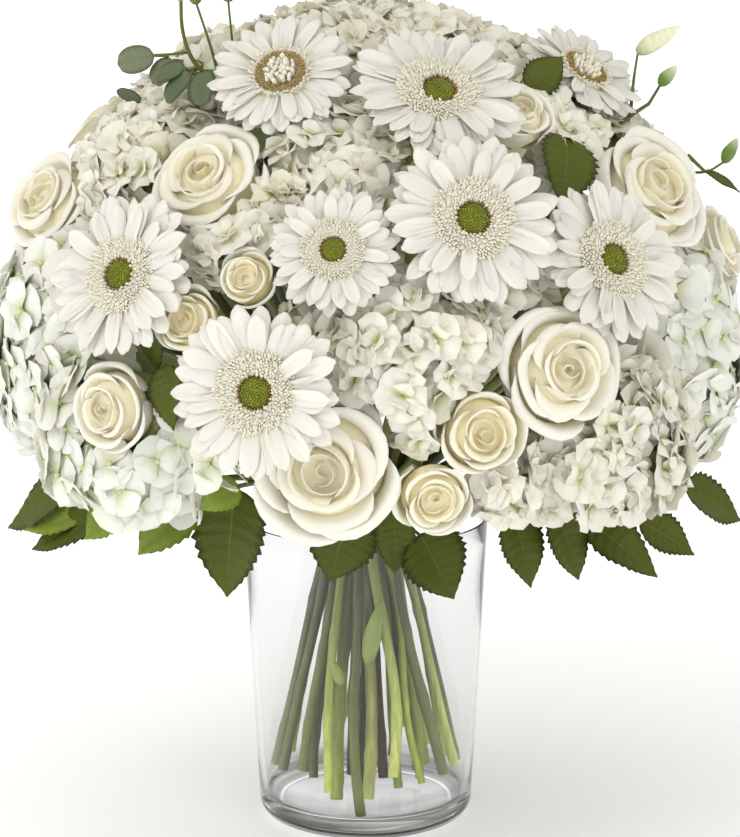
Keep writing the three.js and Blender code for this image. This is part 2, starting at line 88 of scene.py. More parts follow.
def hue(code: str) -> Colour:
    """A linear colour, as shaders take it, from a six-digit display code."""
    parts = [int(code[k : k + 2], 16) / 255 for k in (0, 2, 4)]
    return (*[c / 12.92 if c <= 0.04045 else ((c + 0.055) / 1.055) ** 2.4 for c in parts], 1.0)


def around(turn: float, reach: float, height: float) -> Vector:
    """A point by degrees round from the front, distance from the axis and height."""
    angle = radians(turn)
    return Vector((reach * sin(angle), -reach * cos(angle), height))


def scatter(number: float) -> float:
    """A fixed share from 0 to 1 for each number."""
    return sin(number * 127.1 + 11.7) * 43758.5453 % 1.0


def blend(low: float, high: float, share: float) -> float:
    """A value between two others, by a share from 0 to 1."""
    return low + (high - low) * share


def smooth(low: float, high: float, value: float) -> float:
    """A soft step from 0 to 1 as a value goes from low to high."""
    share = min(1.0, max(0.0, (value - low) / (high - low)))
    return share * share * (3 - 2 * share)


def bezier(points: Sequence[Vector], share: float) -> Vector:
    """A point on the curve that four control points give."""
    a, b, c, d = points
    rest = 1 - share
    return a * rest**3 + b * (3 * rest**2 * share) + c * (3 * rest * share**2) + d * share**3


# Meshes


@dataclass
class Shape:
    """A mesh being drawn: its points, its faces and each point's place on its petal or leaf."""

    points: list[Vector] = field(default_factory=list)
    faces: list[tuple[int, ...]] = field(default_factory=list)
    form: list[Spot] = field(default_factory=list)
    sharp: set[tuple[int, int]] = field(default_factory=set)

    def add(self, point: Vector, *form: float) -> int:
        """Adds a point with its form, and gives its number."""
        self.points.append(point)
        self.form.append(form)
        return len(self.points) - 1

    def shell(self, grid: Grid, thickness: float, layer: float = 0.0, plain: bool = False) -> None:
        """Adds a thin closed sheet that tapers to its rim.

        Args:
            grid: Rows along the sheet, each with its points from side to side.
            thickness: How far the underside lies below the top.
            layer: The third value of the form, which tells a finish what the sheet is.
            plain: Whether the underside gets one middle point in place of a full grid.
        """
        rows, columns = len(grid), len(grid[0])
        spans = [(i, j) for i in range(rows - 1) for j in range(columns - 1)]
        across = [2 * j / (columns - 1) - 1 for j in range(columns)]
        top = [[self.add(point, u, i / (rows - 1), layer) for u, point in zip(across, row)]
               for i, row in enumerate(grid)]
        self.faces += [(top[i][j], top[i + 1][j], top[i + 1][j + 1], top[i][j + 1]) for i, j in spans]
        loop = [top[0][j] for j in range(columns - 1)] + [top[i][-1] for i in range(rows - 1)]
        loop += [top[-1][j] for j in range(columns - 1, 0, -1)] + [top[i][0] for i in range(rows - 1, 0, -1)]
        count = len(loop)
        self.sharp.update(tuple(sorted((loop[k], loop[(k + 1) % count]))) for k in range(count))
        if plain:
            middle = self.add(self.below(grid, rows // 2, columns // 2, thickness), 0.0, 0.5, layer)
            self.faces += [(middle, loop[k], loop[k + 1], loop[(k + 2) % count]) for k in range(0, count, 2)]
            return
        under = [row[:] for row in top]
        for i in range(1, rows - 1):
            for j in range(1, columns - 1):
                under[i][j] = self.add(self.below(grid, i, j, thickness), across[j], i / (rows - 1), layer)
        self.faces += [(under[i][j], under[i][j + 1], under[i + 1][j + 1], under[i + 1][j]) for i, j in spans]

    @staticmethod
    def below(grid: Grid, i: int, j: int, thickness: float) -> Vector:
        """The point of the underside below a point of a grid."""
        along, across = grid[i + 1][j] - grid[i - 1][j], grid[i][j + 1] - grid[i][j - 1]
        return grid[i][j] - along.cross(across).normalized() * thickness

    def turned(self, profile: Profile, sides: int, layer: float = 0.0,
               bend: Callable[[float, float], tuple[float, float]] | None = None) -> None:
        """Adds a closed turned form round the Z axis.

        Args:
            profile: Radius and height of each ring, with a radius of 0 at both ends.
            sides: How many faces go round.
            layer: The third value of the form.
            bend: Gives a factor for the radius and an angle to add, from an angle and the share of
                the way up.
        """
        last = len(profile) - 1
        rings: list[list[int]] = []
        for k, (radius, height) in enumerate(profile):
            share = k / last
            level = Vector((0, 0, height))
            if k in (0, last):
                rings.append([self.add(level, 0.0, share, layer)] * sides)
                continue
            row = []
            for side in range(sides):
                angle = 2 * pi * side / sides
                factor, more = bend(angle, share) if bend else (1.0, 0.0)
                way = Vector((cos(angle + more), sin(angle + more), 0))
                row.append(self.add(way * radius * factor + level, side / sides, share, layer))
            rings.append(row)
        for low, high in zip(rings, rings[1:]):
            for side in range(sides):
                follow = (side + 1) % sides
                corners = [low[side], low[follow], high[follow], high[side]]
                self.faces.append(tuple(c for k, c in enumerate(corners) if c != corners[k - 1]))

    def place(self, matrix: Matrix, start: int = 0) -> None:
        """Moves the points from a given one on."""
        for k in range(start, len(self.points)):
            self.points[k] = matrix @ self.points[k]

    def mesh(self, name: str, finish: "Finish | None" = None, tone: float = 0.5) -> Mesh:
        """Makes the mesh.

        Args:
            name: The mesh's name.
            finish: Its finish, if it has one.
            tone: The shade that a finish reads, from 0 to 1.

        Returns:
            The mesh, smooth but for the rims of its sheets.
        """
        mesh = bpy.data.meshes.new(name)
        mesh.from_pydata([tuple(p) for p in self.points], [], self.faces)
        mesh.shade_smooth()
        form = mesh.attributes.new("form", "FLOAT_VECTOR", "POINT")
        form.data.foreach_set("vector", [value for row in self.form for value in row])
        shade = mesh.attributes.new("tone", "FLOAT", "POINT")
        shade.data.foreach_set("value", [tone] * len(self.points))
        if self.sharp:
            edges = mesh.attributes.new("sharp_edge", "BOOLEAN", "EDGE")
            flags = [tuple(sorted(edge.vertices)) in self.sharp for edge in mesh.edges]
            edges.data.foreach_set("value", flags)
        if finish:
            mesh.materials.append(finish.material)
        return mesh


class Kit:
    """A family of shapes that a node tree picks from. It is removed when all is built."""

    made: ClassVar[list["Kit"]] = []

    def __init__(self, name: str, shapes: Iterable[Shape]) -> None:
        """Makes one object for each shape, in order.

        Args:
            name: The family's name.
            shapes: Its shapes.
        """
        self.collection = bpy.data.collections.new(name)
        for k, shape in enumerate(shapes):
            mesh = shape.mesh(f"{name}_{k:02d}")
            mesh.attributes.remove(mesh.attributes["tone"])
            self.collection.objects.link(bpy.data.objects.new(mesh.name, mesh))
        Kit.made.append(self)

    @classmethod
    def clear(cls) -> None:
        """Removes every family, with its objects and meshes."""
        for kit in cls.made:
            for item in list(kit.collection.objects):
                mesh = item.data
                bpy.data.objects.remove(item)
                bpy.data.meshes.remove(mesh)
            bpy.data.collections.remove(kit.collection)
        cls.made.clear()


# Node trees


class Graph:
    """A node tree being drawn."""

    def __init__(self, tree: NodeTree) -> None:
        """Takes the tree."""
        self.tree = tree

    def fill(self, node: Node, key: str | int, value: Any) -> None:
        """Links or sets one input of a node."""
        sockets = [s for s in node.inputs if s.enabled]
        socket = sockets[key] if isinstance(key, int) else next(s for s in sockets if s.name == key)
        if isinstance(value, NodeSocket):
            self.tree.links.new(value, socket)
        else:
            socket.default_value = value[:3] if socket.type == "VECTOR" else value

    def node(self, kind: str, values: dict[str | int, Any], **settings: Any) -> Node:
        """Adds a node and fills its inputs.

        Args:
            kind: The node's type.
            values: A socket to link or a value to set, by the input's name or number.
            settings: The node's own properties.

        Returns:
            The node.
        """
        node = self.tree.nodes.new(kind)
        for key, value in settings.items():
            setattr(node, key, value)
        for key, value in values.items():
            self.fill(node, key, value)
        return node

    def add(self, kind: str, values: dict[str | int, Any], **settings: Any) -> NodeSocket:
        """Adds a node, as above, for its first output in use."""
        return next(s for s in self.node(kind, values, **settings).outputs if s.enabled)

    def sum(self, operation: str, *values: Any, clamp: bool = False) -> NodeSocket:
        """The result of one sum on sockets or numbers."""
        return self.add("ShaderNodeMath", dict(enumerate(values)), operation=operation, use_clamp=clamp)

    def vectors(self, operation: str, *values: Any) -> NodeSocket:
        """The result of one sum on vectors."""
        return self.add("ShaderNodeVectorMath", dict(enumerate(values)), operation=operation)

    def times(self, first: Any, second: Any) -> NodeSocket:
        """One socket or number times another."""
        return self.sum("MULTIPLY", first, second)

    def vector(self, x: Any, y: Any, z: Any) -> NodeSocket:
        """A vector from three sockets or numbers."""
        return self.add("ShaderNodeCombineXYZ", {0: x, 1: y, 2: z})

    def ramp(self, value: NodeSocket, *stops: tuple[float, Colour]) -> NodeSocket:
        """A colour from a value, through given stops.

        Args:
            value: The value.
            stops: Each stop's place from 0 to 1, and its colour.

        Returns:
            The colour's socket.
        """
        node = self.node("ShaderNodeValToRGB", {0: value})
        elements = node.color_ramp.elements
        while len(elements) < len(stops):
            elements.new(0.5)
        for element, (position, colour) in zip(elements, stops):
            element.position = position
            element.color = colour
        return node.outputs["Color"]


class Plan(Graph):
    """A Geometry Nodes tree with named inputs, which stands shapes on points or along lines."""

    def __init__(self, name: str, **inputs: str) -> None:
        """Starts a tree.

        Args:
            name: The tree's name.
            inputs: Each input's name and kind, such as Float or Collection.
        """
        super().__init__(bpy.data.node_groups.new(name, "GeometryNodeTree"))
        for key, kind in inputs.items():
            self.tree.interface.new_socket(key, in_out="INPUT", socket_type="NodeSocket" + kind)
        self.tree.interface.new_socket("Result", in_out="OUTPUT", socket_type="NodeSocketGeometry")
        self.source = self.tree.nodes.new("NodeGroupInput")

    def given(self, name: str) -> NodeSocket:
        """The socket of one of the tree's inputs."""
        return self.source.outputs[name]

    def chance(self, low: Any, high: Any, offset: int, kind: str = "FLOAT") -> NodeSocket:
        """A random value for each point, drawn from the tree's seed plus an offset of its own."""
        values = {"Min": low, "Max": high, "Seed": self.sum("ADD", self.given("Seed"), offset)}
        return self.add("FunctionNodeRandomValue", values, data_type=kind)

    def drift(self, reach: float, offset: int, high: float | None = None) -> NodeSocket:
        """A random value either side of nothing, by how loose the tree's shapes stand."""
        return self.times(self.chance(-reach, reach if high is None else high, offset), self.given("Loose"))

    def size(self, spread: NodeSocket) -> NodeSocket:
        """The size that the tree is given, more or less a share of it."""
        return self.times(self.given("Size"), self.sum("ADD", spread, 1.0))

    def attribute(self, name: str, kind: str = "FLOAT") -> NodeSocket:
        """The socket of a named attribute."""
        return self.add("GeometryNodeInputNamedAttribute", {"Name": name}, data_type=kind)

    def stand(self, points: NodeSocket, pick: NodeSocket, turn: NodeSocket, size: NodeSocket,
              draw: int) -> NodeTree:
        """Stands a shape of the given family on each point, and ends the tree.

        Args:
            points: The points.
            pick: The number of each one's shape in the family.
            turn: Each one's rotation.
            size: Each one's size.
            draw: Sets the draw of tones apart from the tree's others.

        Returns:
            The finished tree.
        """
        shapes = {"Collection": self.given("Shapes"), "Separate Children": True, "Reset Children": True}
        values = {
            "Points": points,
            "Instance": self.add("GeometryNodeCollectionInfo", shapes),
            "Pick Instance": True,
            "Instance Index": pick,
            "Rotation": turn,
            "Scale": size,
        }
        made = self.add("GeometryNodeInstanceOnPoints", values)
        values = {"Geometry": made, "Name": "tone", "Value": self.chance(0.0, 1.0, draw)}
        toned = self.add("GeometryNodeStoreNamedAttribute", values, data_type="FLOAT", domain="INSTANCE")
        return self.close(toned)

    def close(self, made: NodeSocket) -> NodeTree:
        """Ends the tree with real geometry in the given finish.

        Args:
            made: What the tree has made.

        Returns:
            The finished tree.
        """
        real = self.add("GeometryNodeRealizeInstances", {"Geometry": made})
        done = self.add("GeometryNodeSetMaterial", {"Geometry": real, "Material": self.given("Finish")})
        sink = self.tree.nodes.new("NodeGroupOutput")
        self.tree.links.new(done, sink.inputs[0])
        return self.tree


@cache
def ring_tree() -> NodeTree:
    """A tree that sets shapes in a ring, each leaning out from the axis by a tilt.

    Returns:
        The tree.
    """
    plan = Plan("ring_of_petals", Shapes="Collection", Finish="Material", Count="Int", Turn="Float",
                Tilt="Float", Rise="Float", Size="Float", Loose="Float", Seed="Int")
    count = plan.given("Count")
    level = plan.vector(0, 0, plan.given("Rise"))
    points = plan.add("GeometryNodePoints", {"Count": count, "Position": level})
    step = plan.sum("DIVIDE", 2 * pi, count)
    angle = plan.times(plan.add("GeometryNodeInputIndex", {}), step)
    drift = plan.times(plan.times(plan.chance(-0.3, 0.3, 1), step), plan.given("Loose"))
    angle = plan.sum("ADD", plan.sum("ADD", angle, drift), plan.given("Turn"))
    lean = plan.times(plan.sum("ADD", plan.given("Tilt"), plan.drift(0.07, 2)), -1.0)
    euler = plan.vector(plan.drift(0.2, 3), lean, angle)
    turn = plan.add("FunctionNodeEulerToRotation", {"Euler": euler})
    return plan.stand(points, plan.chance(0, 99, 5, "INT"), turn, plan.size(plan.drift(0.06, 4, 0.04)), 6)


@cache
def spiral_tree() -> NodeTree:
    """A tree that sets a family's shapes one by one round the axis, a golden angle apart.

    Returns:
        The tree.
    """
    plan = Plan("spiral_of_petals", Shapes="Collection", Finish="Material", Count="Int", Turn="Float",
                Size="Float", Loose="Float", Seed="Int")
    index = plan.add("GeometryNodeInputIndex", {})
    points = plan.add("GeometryNodePoints", {"Count": plan.given("Count")})
    drift = plan.sum("ADD", plan.drift(0.22, 1), plan.given("Turn"))
    sway, lean = plan.drift(0.05, 2), plan.drift(0.05, 3)
    euler = plan.vector(sway, lean, plan.sum("ADD", plan.times(index, GOLDEN), drift))
    turn = plan.add("FunctionNodeEulerToRotation", {"Euler": euler})
    return plan.stand(points, index, turn, plan.size(plan.drift(0.03, 4)), 5)


@cache
def cover_tree() -> NodeTree:
    """A tree that stands shapes on the points of a mesh, each along the point's own aim.

    Returns:
        The tree.
    """
    plan = Plan("cover_of_florets", Ground="Geometry", Shapes="Collection", Finish="Material", Size="Float",
                Spread="Float", Loose="Float", Seed="Int")
    lean = plan.vectors("SCALE", plan.chance((-1, -1, -1), (1, 1, 1), 1, "FLOAT_VECTOR"), plan.given("Loose"))
    aim = plan.vectors("ADD", plan.attribute("aim", "FLOAT_VECTOR"), lean)
    stand = plan.add("FunctionNodeAlignRotationToVector", {"Vector": aim}, axis="Z")
    spin = plan.add("FunctionNodeAxisAngleToRotation", {"Angle": plan.chance(0.0, 2 * pi, 2)})
    both = {"Rotation": stand, "Rotate By": spin}
    turn = plan.add("FunctionNodeRotateRotation", both, rotation_space="LOCAL")
    size = plan.size(plan.times(plan.chance(-1.0, 1.0, 3), plan.given("Spread")))
    return plan.stand(plan.given("Ground"), plan.chance(0, 99, 4, "INT"), turn, size, 5)


@cache
def tube_tree() -> NodeTree:
    """A tree that gives a mesh's lines a round body, by each point's girth.

    Returns:
        The tree.
    """
    plan = Plan("tubes_along_lines", Ground="Geometry", Finish="Material", Sides="Int", Seed="Int")
    curve = plan.add("GeometryNodeMeshToCurve", {"Mesh": plan.given("Ground")})
    profile = plan.add("GeometryNodeCurvePrimitiveCircle", {"Resolution": plan.given("Sides"), "Radius": 1.0})
    values = {"Curve": curve, "Profile Curve": profile, "Scale": plan.attribute("girth"), "Fill Caps": True}
    return plan.close(plan.add("GeometryNodeCurveToMesh", values))


def show(name: str, data: Any) -> Object:
    """Puts a mesh, a lamp or a camera into the scene.

    Args:
        name: The name that it gets.
        data: The mesh, lamp or camera.

    Returns:
        Its object.
    """
    made = bpy.data.objects.new(name, data)
    bpy.context.scene.collection.objects.link(made)
    return made


def settle(tree: NodeTree, ground: Mesh | None = None, **inputs: Any) -> Mesh:
    """Runs a tree once and keeps what it makes as a plain mesh.

    Args:
        tree: The tree.
        ground: The mesh that it works on, if any.
        inputs: Its inputs by name.

    Returns:
        The mesh.
    """
    holder = show("holder", ground or bpy.data.meshes.new("holder"))
    modifier = holder.modifiers.new("tree", "NODES")
    modifier.node_group = tree
    for item in tree.interface.items_tree:
        if item.in_out == "INPUT" and item.name in inputs:
            value = inputs[item.name]
            modifier[item.identifier] = value.material if isinstance(value, Finish) else value
    graph = bpy.context.evaluated_depsgraph_get()
    mesh = bpy.data.meshes.new_from_object(
        holder.evaluated_get(graph), preserve_all_data_layers=True, depsgraph=graph
    )
    holder.modifiers.remove(modifier)
    bpy.data.objects.remove(holder)
    return mesh


def lathe(name: str, profile: Profile, sides: int, finish: "Finish",
          tone: float = 0.5, layer: float = 0.0) -> Mesh:
    """A turned form round the Z axis.

    Args:
        name: The mesh's name.
        profile: Radius and height of each ring in millimetres.
        sides: How many faces go round.
        finish: Its material.
        tone: The shade that the finish reads.
        layer: The third value of the form.

    Returns:
        The mesh, in metres.
    """
    shape = Shape()
    shape.turned(profile, sides, layer)
    shape.place(Matrix.Scale(MM, 4))
    return shape.mesh(name, finish, tone)


def points_mesh(spots: Sequence[Vector], aims: Sequence[Vector]) -> Mesh:
    """A mesh of loose points for the tree that covers.

    Args:
        spots: The points in millimetres.
        aims: The way that each one's shape stands.

    Returns:
        The mesh, in metres.
    """
    mesh = bpy.data.meshes.new("points")
    mesh.from_pydata([tuple(spot * MM) for spot in spots], [], [])
    aim = mesh.attributes.new("aim", "FLOAT_VECTOR", "POINT")
    aim.data.foreach_set("vector", [value for vector in aims for value in vector])
    return mesh


def lines_mesh(lines: Iterable[Line]) -> Mesh:
    """A mesh of open lines for the tree of tubes.

    Args:
        lines: Each line's points in millimetres, with their girth in millimetres and tone.

    Returns:
        The mesh, in metres.
    """
    rows = [row for line in lines for row in line]
    edges = []
    start = 0
    for line in lines:
        edges += [(start + k, start + k + 1) for k in range(len(line) - 1)]
        start += len(line)
    mesh = bpy.data.meshes.new("lines")
    mesh.from_pydata([tuple(point * MM) for point, _, _ in rows], edges, [])
    for name, values in (("girth", [g * MM for _, g, _ in rows]), ("tone", [t for _, _, t in rows])):
        mesh.attributes.new(name, "FLOAT", "POINT").data.foreach_set("value", values)
    return mesh


def piece(name: str, meshes: Sequence[Mesh], node: str, slot: str) -> Object:
    """Joins meshes into one finished piece that stands for a node.

    Args:
        name: The piece's name.
        meshes: What it is made of, in place.
        node: The CAD node that it replaces.
        slot: The record's material slot; not used.

    Returns:
        The piece.
    """
    parts = [show(name, mesh) for mesh in meshes]
    if len(parts) > 1:
        with bpy.context.temp_override(active_object=parts[0], object=parts[0], selected_objects=parts,
                                       selected_editable_objects=parts):
            bpy.ops.object.join()
    made = parts[0]
    made.name = made.data.name = name
    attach(made, "root")
    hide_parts(node)
    faces = sum(len(face.vertices) - 2 for face in made.data.polygons)
    LOG.info("%s stands for %s with %d triangles", name, node, faces)
    return made


# Finishes


class Paint(Graph):
    """A material's shader tree being drawn."""

    def __init__(self, name: str) -> None:
        """Starts a material with one shader."""
        self.material = bpy.data.materials.new(name)
        self.material.use_nodes = True
        super().__init__(self.material.node_tree)
        self.shader = self.tree.nodes["Principled BSDF"]

    def set(self, **values: Any) -> None:
        """Sets or links the shader's inputs, with _ for each space in a name."""
        for key, value in values.items():
            self.fill(self.shader, key.replace("_", " "), value)

    def fit(self, value: NodeSocket, factor: float, offset: float, clamp: bool = False) -> NodeSocket:
        """A value times a factor, plus an offset."""
        return self.sum("MULTIPLY_ADD", value, factor, offset, clamp=clamp)

    @cached_property
    def form(self) -> list[NodeSocket]:
        """Across, along and layer: a point's place on its petal or leaf."""
        source = self.node("ShaderNodeAttribute", {}, attribute_name="form")
        return list(self.node("ShaderNodeSeparateXYZ", {0: source.outputs["Vector"]}).outputs)

    @cached_property
    def tone(self) -> NodeSocket:
        """The shade from 0 to 1 that each petal or stem was given."""
        return self.node("ShaderNodeAttribute", {}, attribute_name="tone").outputs["Fac"]

    def spot(self) -> NodeSocket:
        """The place of a point on the object, in metres."""
        return self.node("ShaderNodeTexCoord", {}).outputs["Object"]

    def level(self) -> NodeSocket:
        """The height of a point on the object, in metres."""
        return self.node("ShaderNodeSeparateXYZ", {0: self.spot()}).outputs[2]

    def reach(self) -> NodeSocket:
        """The distance of a point from the object's axis, in metres."""
        return self.vectors("LENGTH", self.stretched(1.0, 1.0, 0.0))

    def stretched(self, x: float, y: float, z: float) -> NodeSocket:
        """The place of a point, with each part multiplied by its own number."""
        return self.vectors("MULTIPLY", self.spot(), (x, y, z))

    def noise(self, vector: NodeSocket, scale: float, detail: float = 3.0) -> NodeSocket:
        """Soft noise from 0 to 1."""
        return self.add("ShaderNodeTexNoise", {"Vector": vector, "Scale": scale, "Detail": detail})

    def grain(self, x: float, y: float, z: float, detail: float) -> NodeSocket:
        """Soft noise from 0 to 1, finer or coarser each way."""
        return self.noise(self.stretched(x, y, z), 1.0, detail)

    def veins(self, scales: Spot, scale: float, detail: float) -> NodeSocket:
        """Soft streaks by three scales: across a petal, along it, and from one petal's tone to the next."""
        parts = [self.times(part, much) for part, much in zip((*self.form[:2], self.tone), scales)]
        return self.noise(self.vector(*parts), scale, detail)

    def mix(self, share: Any, first: Any, second: Any) -> NodeSocket:
        """A colour between two others."""
        return self.add("ShaderNodeMix", {"Factor": share, "A": first, "B": second}, data_type="RGBA")

    def shade(self, colour: Any, value: NodeSocket, low: float, high: float) -> NodeSocket:
        """A colour times a factor, which goes from low to high with a value from 0 to 1."""
        return self.vectors("SCALE", colour, self.fit(value, high - low, low))

    def soften(self, share: float, reach: float) -> None:
        """Lets light spread inside the surface, as in a petal."""
        self.set(Subsurface_Weight=share, Subsurface_Radius=(1.0, 0.9, 0.7), Subsurface_Scale=reach)

    def coat(self, colour: NodeSocket, grain: NodeSocket, more: float, least: float) -> None:
        """Sets the colour, and a roughness that rises from its least with a grain."""
        self.set(Base_Color=colour, Roughness=self.fit(grain, more, least))

    def bump(self, height: NodeSocket, strength: float, distance: float) -> None:
        """Gives the surface fine relief, up to a distance in metres."""
        values = {"Height": height, "Strength": strength, "Distance": distance}
        self.set(Normal=self.add("ShaderNodeBump", values))


class Finish:
    """A way to dress a surface, whose draw method paints it."""

    name: str

    def draw(self, paint: Paint) -> None:
        """Draws the material."""
        raise NotImplementedError

    @property
    def material(self) -> Material:
        """The finish's material, drawn once."""
        known = bpy.data.materials.get(self.name)
        if known:
            return known
        paint = Paint(self.name)
        self.draw(paint)
        return paint.material


@dataclass(frozen=True)
class GerberaFinish(Finish):
    """White strap petals with fine grooves along them, and a cream frill inside."""

    name: str = "gerbera_petal"
    tip: Colour = hue("f4f2e8")
    root: Colour = hue("ebe7d0")
    frill_tip: Colour = hue("f8f4e4")
    frill_root: Colour = hue("f5eed8")

    def draw(self, paint: Paint) -> None:
        """Draws the material."""
        _, along, layer = paint.form
        strap = paint.ramp(along, (0.15, self.root), (0.5, self.tip))
        frill = paint.ramp(along, (0.1, self.frill_root), (0.8, self.frill_tip))
        grooves = paint.veins((5.0, 1.2, 31.0), 1.6, 4.0)
        colour = paint.mix(paint.sum("MINIMUM", layer, 1.0), strap, frill)
        colour = paint.shade(colour, grooves, 0.93, 1.04)
        paint.coat(paint.shade(colour, paint.tone, 0.965, 1.01), grooves, 0.16, 0.46)
        paint.set(Sheen_Weight=0.15, Sheen_Roughness=0.5, Specular_IOR_Level=0.3)
        paint.soften(0.3, 0.003)
        paint.bump(grooves, 0.5, 0.0006)


@dataclass(frozen=True)
class DiscFinish(Finish):
    """The middle of a gerbera: packed green florets with a gold ring round them."""

    name: str
    middle: Colour
    edge: Colour
    ring: Colour
    ring_tip: Colour

    def draw(self, paint: Paint) -> None:
        """Draws the material."""
        _, along, layer = paint.form
        green = paint.ramp(along, (0.0, self.edge), (0.9, self.middle))
        gold = paint.ramp(along, (0.35, self.ring), (1.0, self.ring_tip))
        colour = paint.mix(paint.sum("MINIMUM", layer, 1.0), green, gold)
        grain = paint.noise(paint.spot(), 900.0)
        colour = paint.shade(colour, paint.tone, 0.75, 1.25)
        paint.coat(paint.shade(colour, grain, 0.85, 1.15), grain, 0.3, 0.5)
        paint.set(Specular_IOR_Level=0.25, Sheen_Weight=0.2)
        paint.bump(grain, 0.4, 0.0004)


@dataclass(frozen=True)
class RoseFinish(Finish):
    """Cream rose petals, yellower towards the heart and paler along the lips."""

    name: str
    heart: Colour
    heart_lip: Colour
    outer: Colour
    outer_root: Colour

    def draw(self, paint: Paint) -> None:
        """Draws the material."""
        _, along, layer = paint.form
        inner = paint.ramp(along, (0.55, self.heart), (0.97, self.heart_lip))
        outer = paint.ramp(along, (0.1, self.outer_root), (0.6, self.outer))
        colour = paint.mix(paint.sum("POWER", layer, 0.55), inner, outer)
        veins = paint.veins((7.0, 1.6, 17.0), 2.2, 5.0)
        blotch = paint.noise(paint.spot(), 45.0)
        colour = paint.shade(colour, veins, 0.955, 1.025)
        paint.coat(paint.shade(colour, blotch, 0.97, 1.02), veins, 0.2, 0.4)
        paint.set(Sheen_Weight=0.25, Sheen_Roughness=0.4, Specular_IOR_Level=0.3)
        paint.soften(0.15, 0.004)
        paint.bump(veins, 0.35, 0.0005)


@dataclass(frozen=True)
class FloretFinish(Finish):
    """Small white petals, with a touch of green towards their middle."""

    name: str
    eye: Colour
    tip: Colour
    fresh: Colour

    def draw(self, paint: Paint) -> None:
        """Draws the material."""
        _, along, layer = paint.form
        colour = paint.ramp(along, (0.05, self.eye), (0.45, self.tip))
        colour = paint.mix(paint.times(paint.sum("POWER", paint.tone, 6.0), 0.5), colour, self.fresh)
        colour = paint.mix(paint.sum("MINIMUM", layer, 1.0), colour, self.eye)
        veins = paint.veins((3.0, 1.5, 23.0), 2.0, 4.0)
        colour = paint.shade(colour, veins, 0.94, 1.03)
        paint.coat(paint.shade(colour, paint.tone, 0.97, 1.01), veins, 0.2, 0.45)
        paint.set(Sheen_Weight=0.15, Sheen_Roughness=0.5, Specular_IOR_Level=0.25)
        paint.soften(0.3, 0.004)
        paint.bump(veins, 0.4, 0.0004)


@dataclass(frozen=True)
class GreenFinish(Finish):
    """Soft green of a calyx, a twig or the inside of a head, mottled by place."""

    name: str
    light: Colour
    dark: Colour
    scale: float = 160.0

    def draw(self, paint: Paint) -> None:
        """Draws the material."""
        grain = paint.noise(paint.spot(), self.scale, 4.0)
        colour = paint.mix(grain, self.dark, self.light)
        paint.coat(paint.shade(colour, paint.tone, 0.85, 1.15), grain, 0.2, 0.45)
        paint.set(Specular_IOR_Level=0.3)
        paint.bump(grain, 0.3, 0.0004)


@dataclass(frozen=True)
class StemFinish(Finish):
    """Cut flower stems: streaked along their length, each in its own green."""

    name: str = "flower_stem"
    pale: Colour = hue("dee290")
    fresh: Colour = hue("98ac38")
    olive: Colour = hue("3c4c0c")
    grey: Colour = hue("566446")

    def draw(self, paint: Paint) -> None:
        """Draws the material, with painted shade that darkens it towards the blooms and in the middle of the
        bunch.
        """
        streak = paint.grain(430.0, 430.0, 15.0, 4.0)
        patch = paint.grain(60.0, 60.0, 14.0, 2.0)
        greens = (0.1, self.grey), (0.25, self.olive), (0.6, self.fresh), (1.0, self.pale)
        base = paint.ramp(paint.tone, *greens)
        colour = paint.shade(base, paint.fit(streak, 2.2, -0.6, clamp=True), 0.62, 1.15)
        colour = paint.mix(paint.times(patch, 0.25), colour, self.pale)
        # Painted shade: the colour darkens up towards the blooms, where their shadow falls on the stems.
        level = paint.level()
        colour = paint.shade(colour, paint.fit(level, 6.5, -0.3, clamp=True), 1.15, 0.42)
        # Painted shade: the colour darkens towards the middle of the bunch, where the stems shade each other.
        reach = paint.reach()
        bunch = paint.sum("MAXIMUM", paint.fit(level, -0.212, 0.058), 0.016)
        outward = paint.fit(paint.sum("DIVIDE", reach, bunch), 1.7, -0.6, clamp=True)
        paint.coat(paint.shade(colour, outward, 0.2, 1.12), streak, 0.2, 0.28)
        paint.set(Specular_IOR_Level=0.5)
        paint.soften(0.25, 0.004)
        paint.bump(streak, 0.35, 0.0006)


@dataclass(frozen=True)
class BarkFinish(Finish):
    """Dark brown bark of the woody stems, with pale pores."""

    name: str = "stem_bark"
    dark: Colour = hue("3a2a1e")
    light: Colour = hue("7a6248")

    def draw(self, paint: Paint) -> None:
        """Draws the material."""
        streak = paint.grain(700.0, 700.0, 70.0, 6.0)
        pores = paint.grain(500.0, 500.0, 320.0, 1.0)
        colour = paint.mix(paint.times(streak, streak), self.dark, self.light)
        paint.coat(paint.mix(paint.sum("GREATER_THAN", pores, 0.66), colour, self.light), streak, 0.3, 0.5)
        paint.bump(streak, 0.6, 0.001)


@dataclass(frozen=True)
class LeafFinish(Finish):
    """A leaf with a pale midrib, side veins and a lighter underside."""

    name: str
    face: Colour
    vein: Colour
    under: Colour
    veins: float
    gloss: float

    def draw(self, paint: Paint) -> None:
        """Draws the material."""
        across, along, layer = paint.form
        side = paint.sum("ABSOLUTE", across)
        run = paint.sum("SUBTRACT", paint.times(along, self.veins), paint.times(side, 1.1))
        wave = paint.sum("PINGPONG", run, 0.5)
        width = paint.fit(side, -0.03, 0.06)
        branch = paint.sum("SUBTRACT", 1.0, paint.sum("DIVIDE", wave, width), clamp=True)
        rib = paint.sum("SUBTRACT", 1.0, paint.times(side, 22.0), clamp=True)
        lines = paint.sum("MAXIMUM", branch, rib)
        mottle = paint.noise(paint.spot(), 130.0, 5.0)
        colour = paint.shade(self.face, mottle, 0.62, 1.38)
        colour = paint.shade(colour, paint.tone, 0.72, 1.25)
        colour = paint.mix(paint.times(lines, 0.6), colour, self.vein)
        paint.coat(paint.mix(paint.times(layer, 0.7), colour, self.under), mottle, 0.25, self.gloss)
        paint.set(Specular_IOR_Level=0.18)
        paint.bump(paint.sum("SUBTRACT", paint.times(mottle, 0.5), paint.times(lines, 0.6)), 0.6, 0.0009)


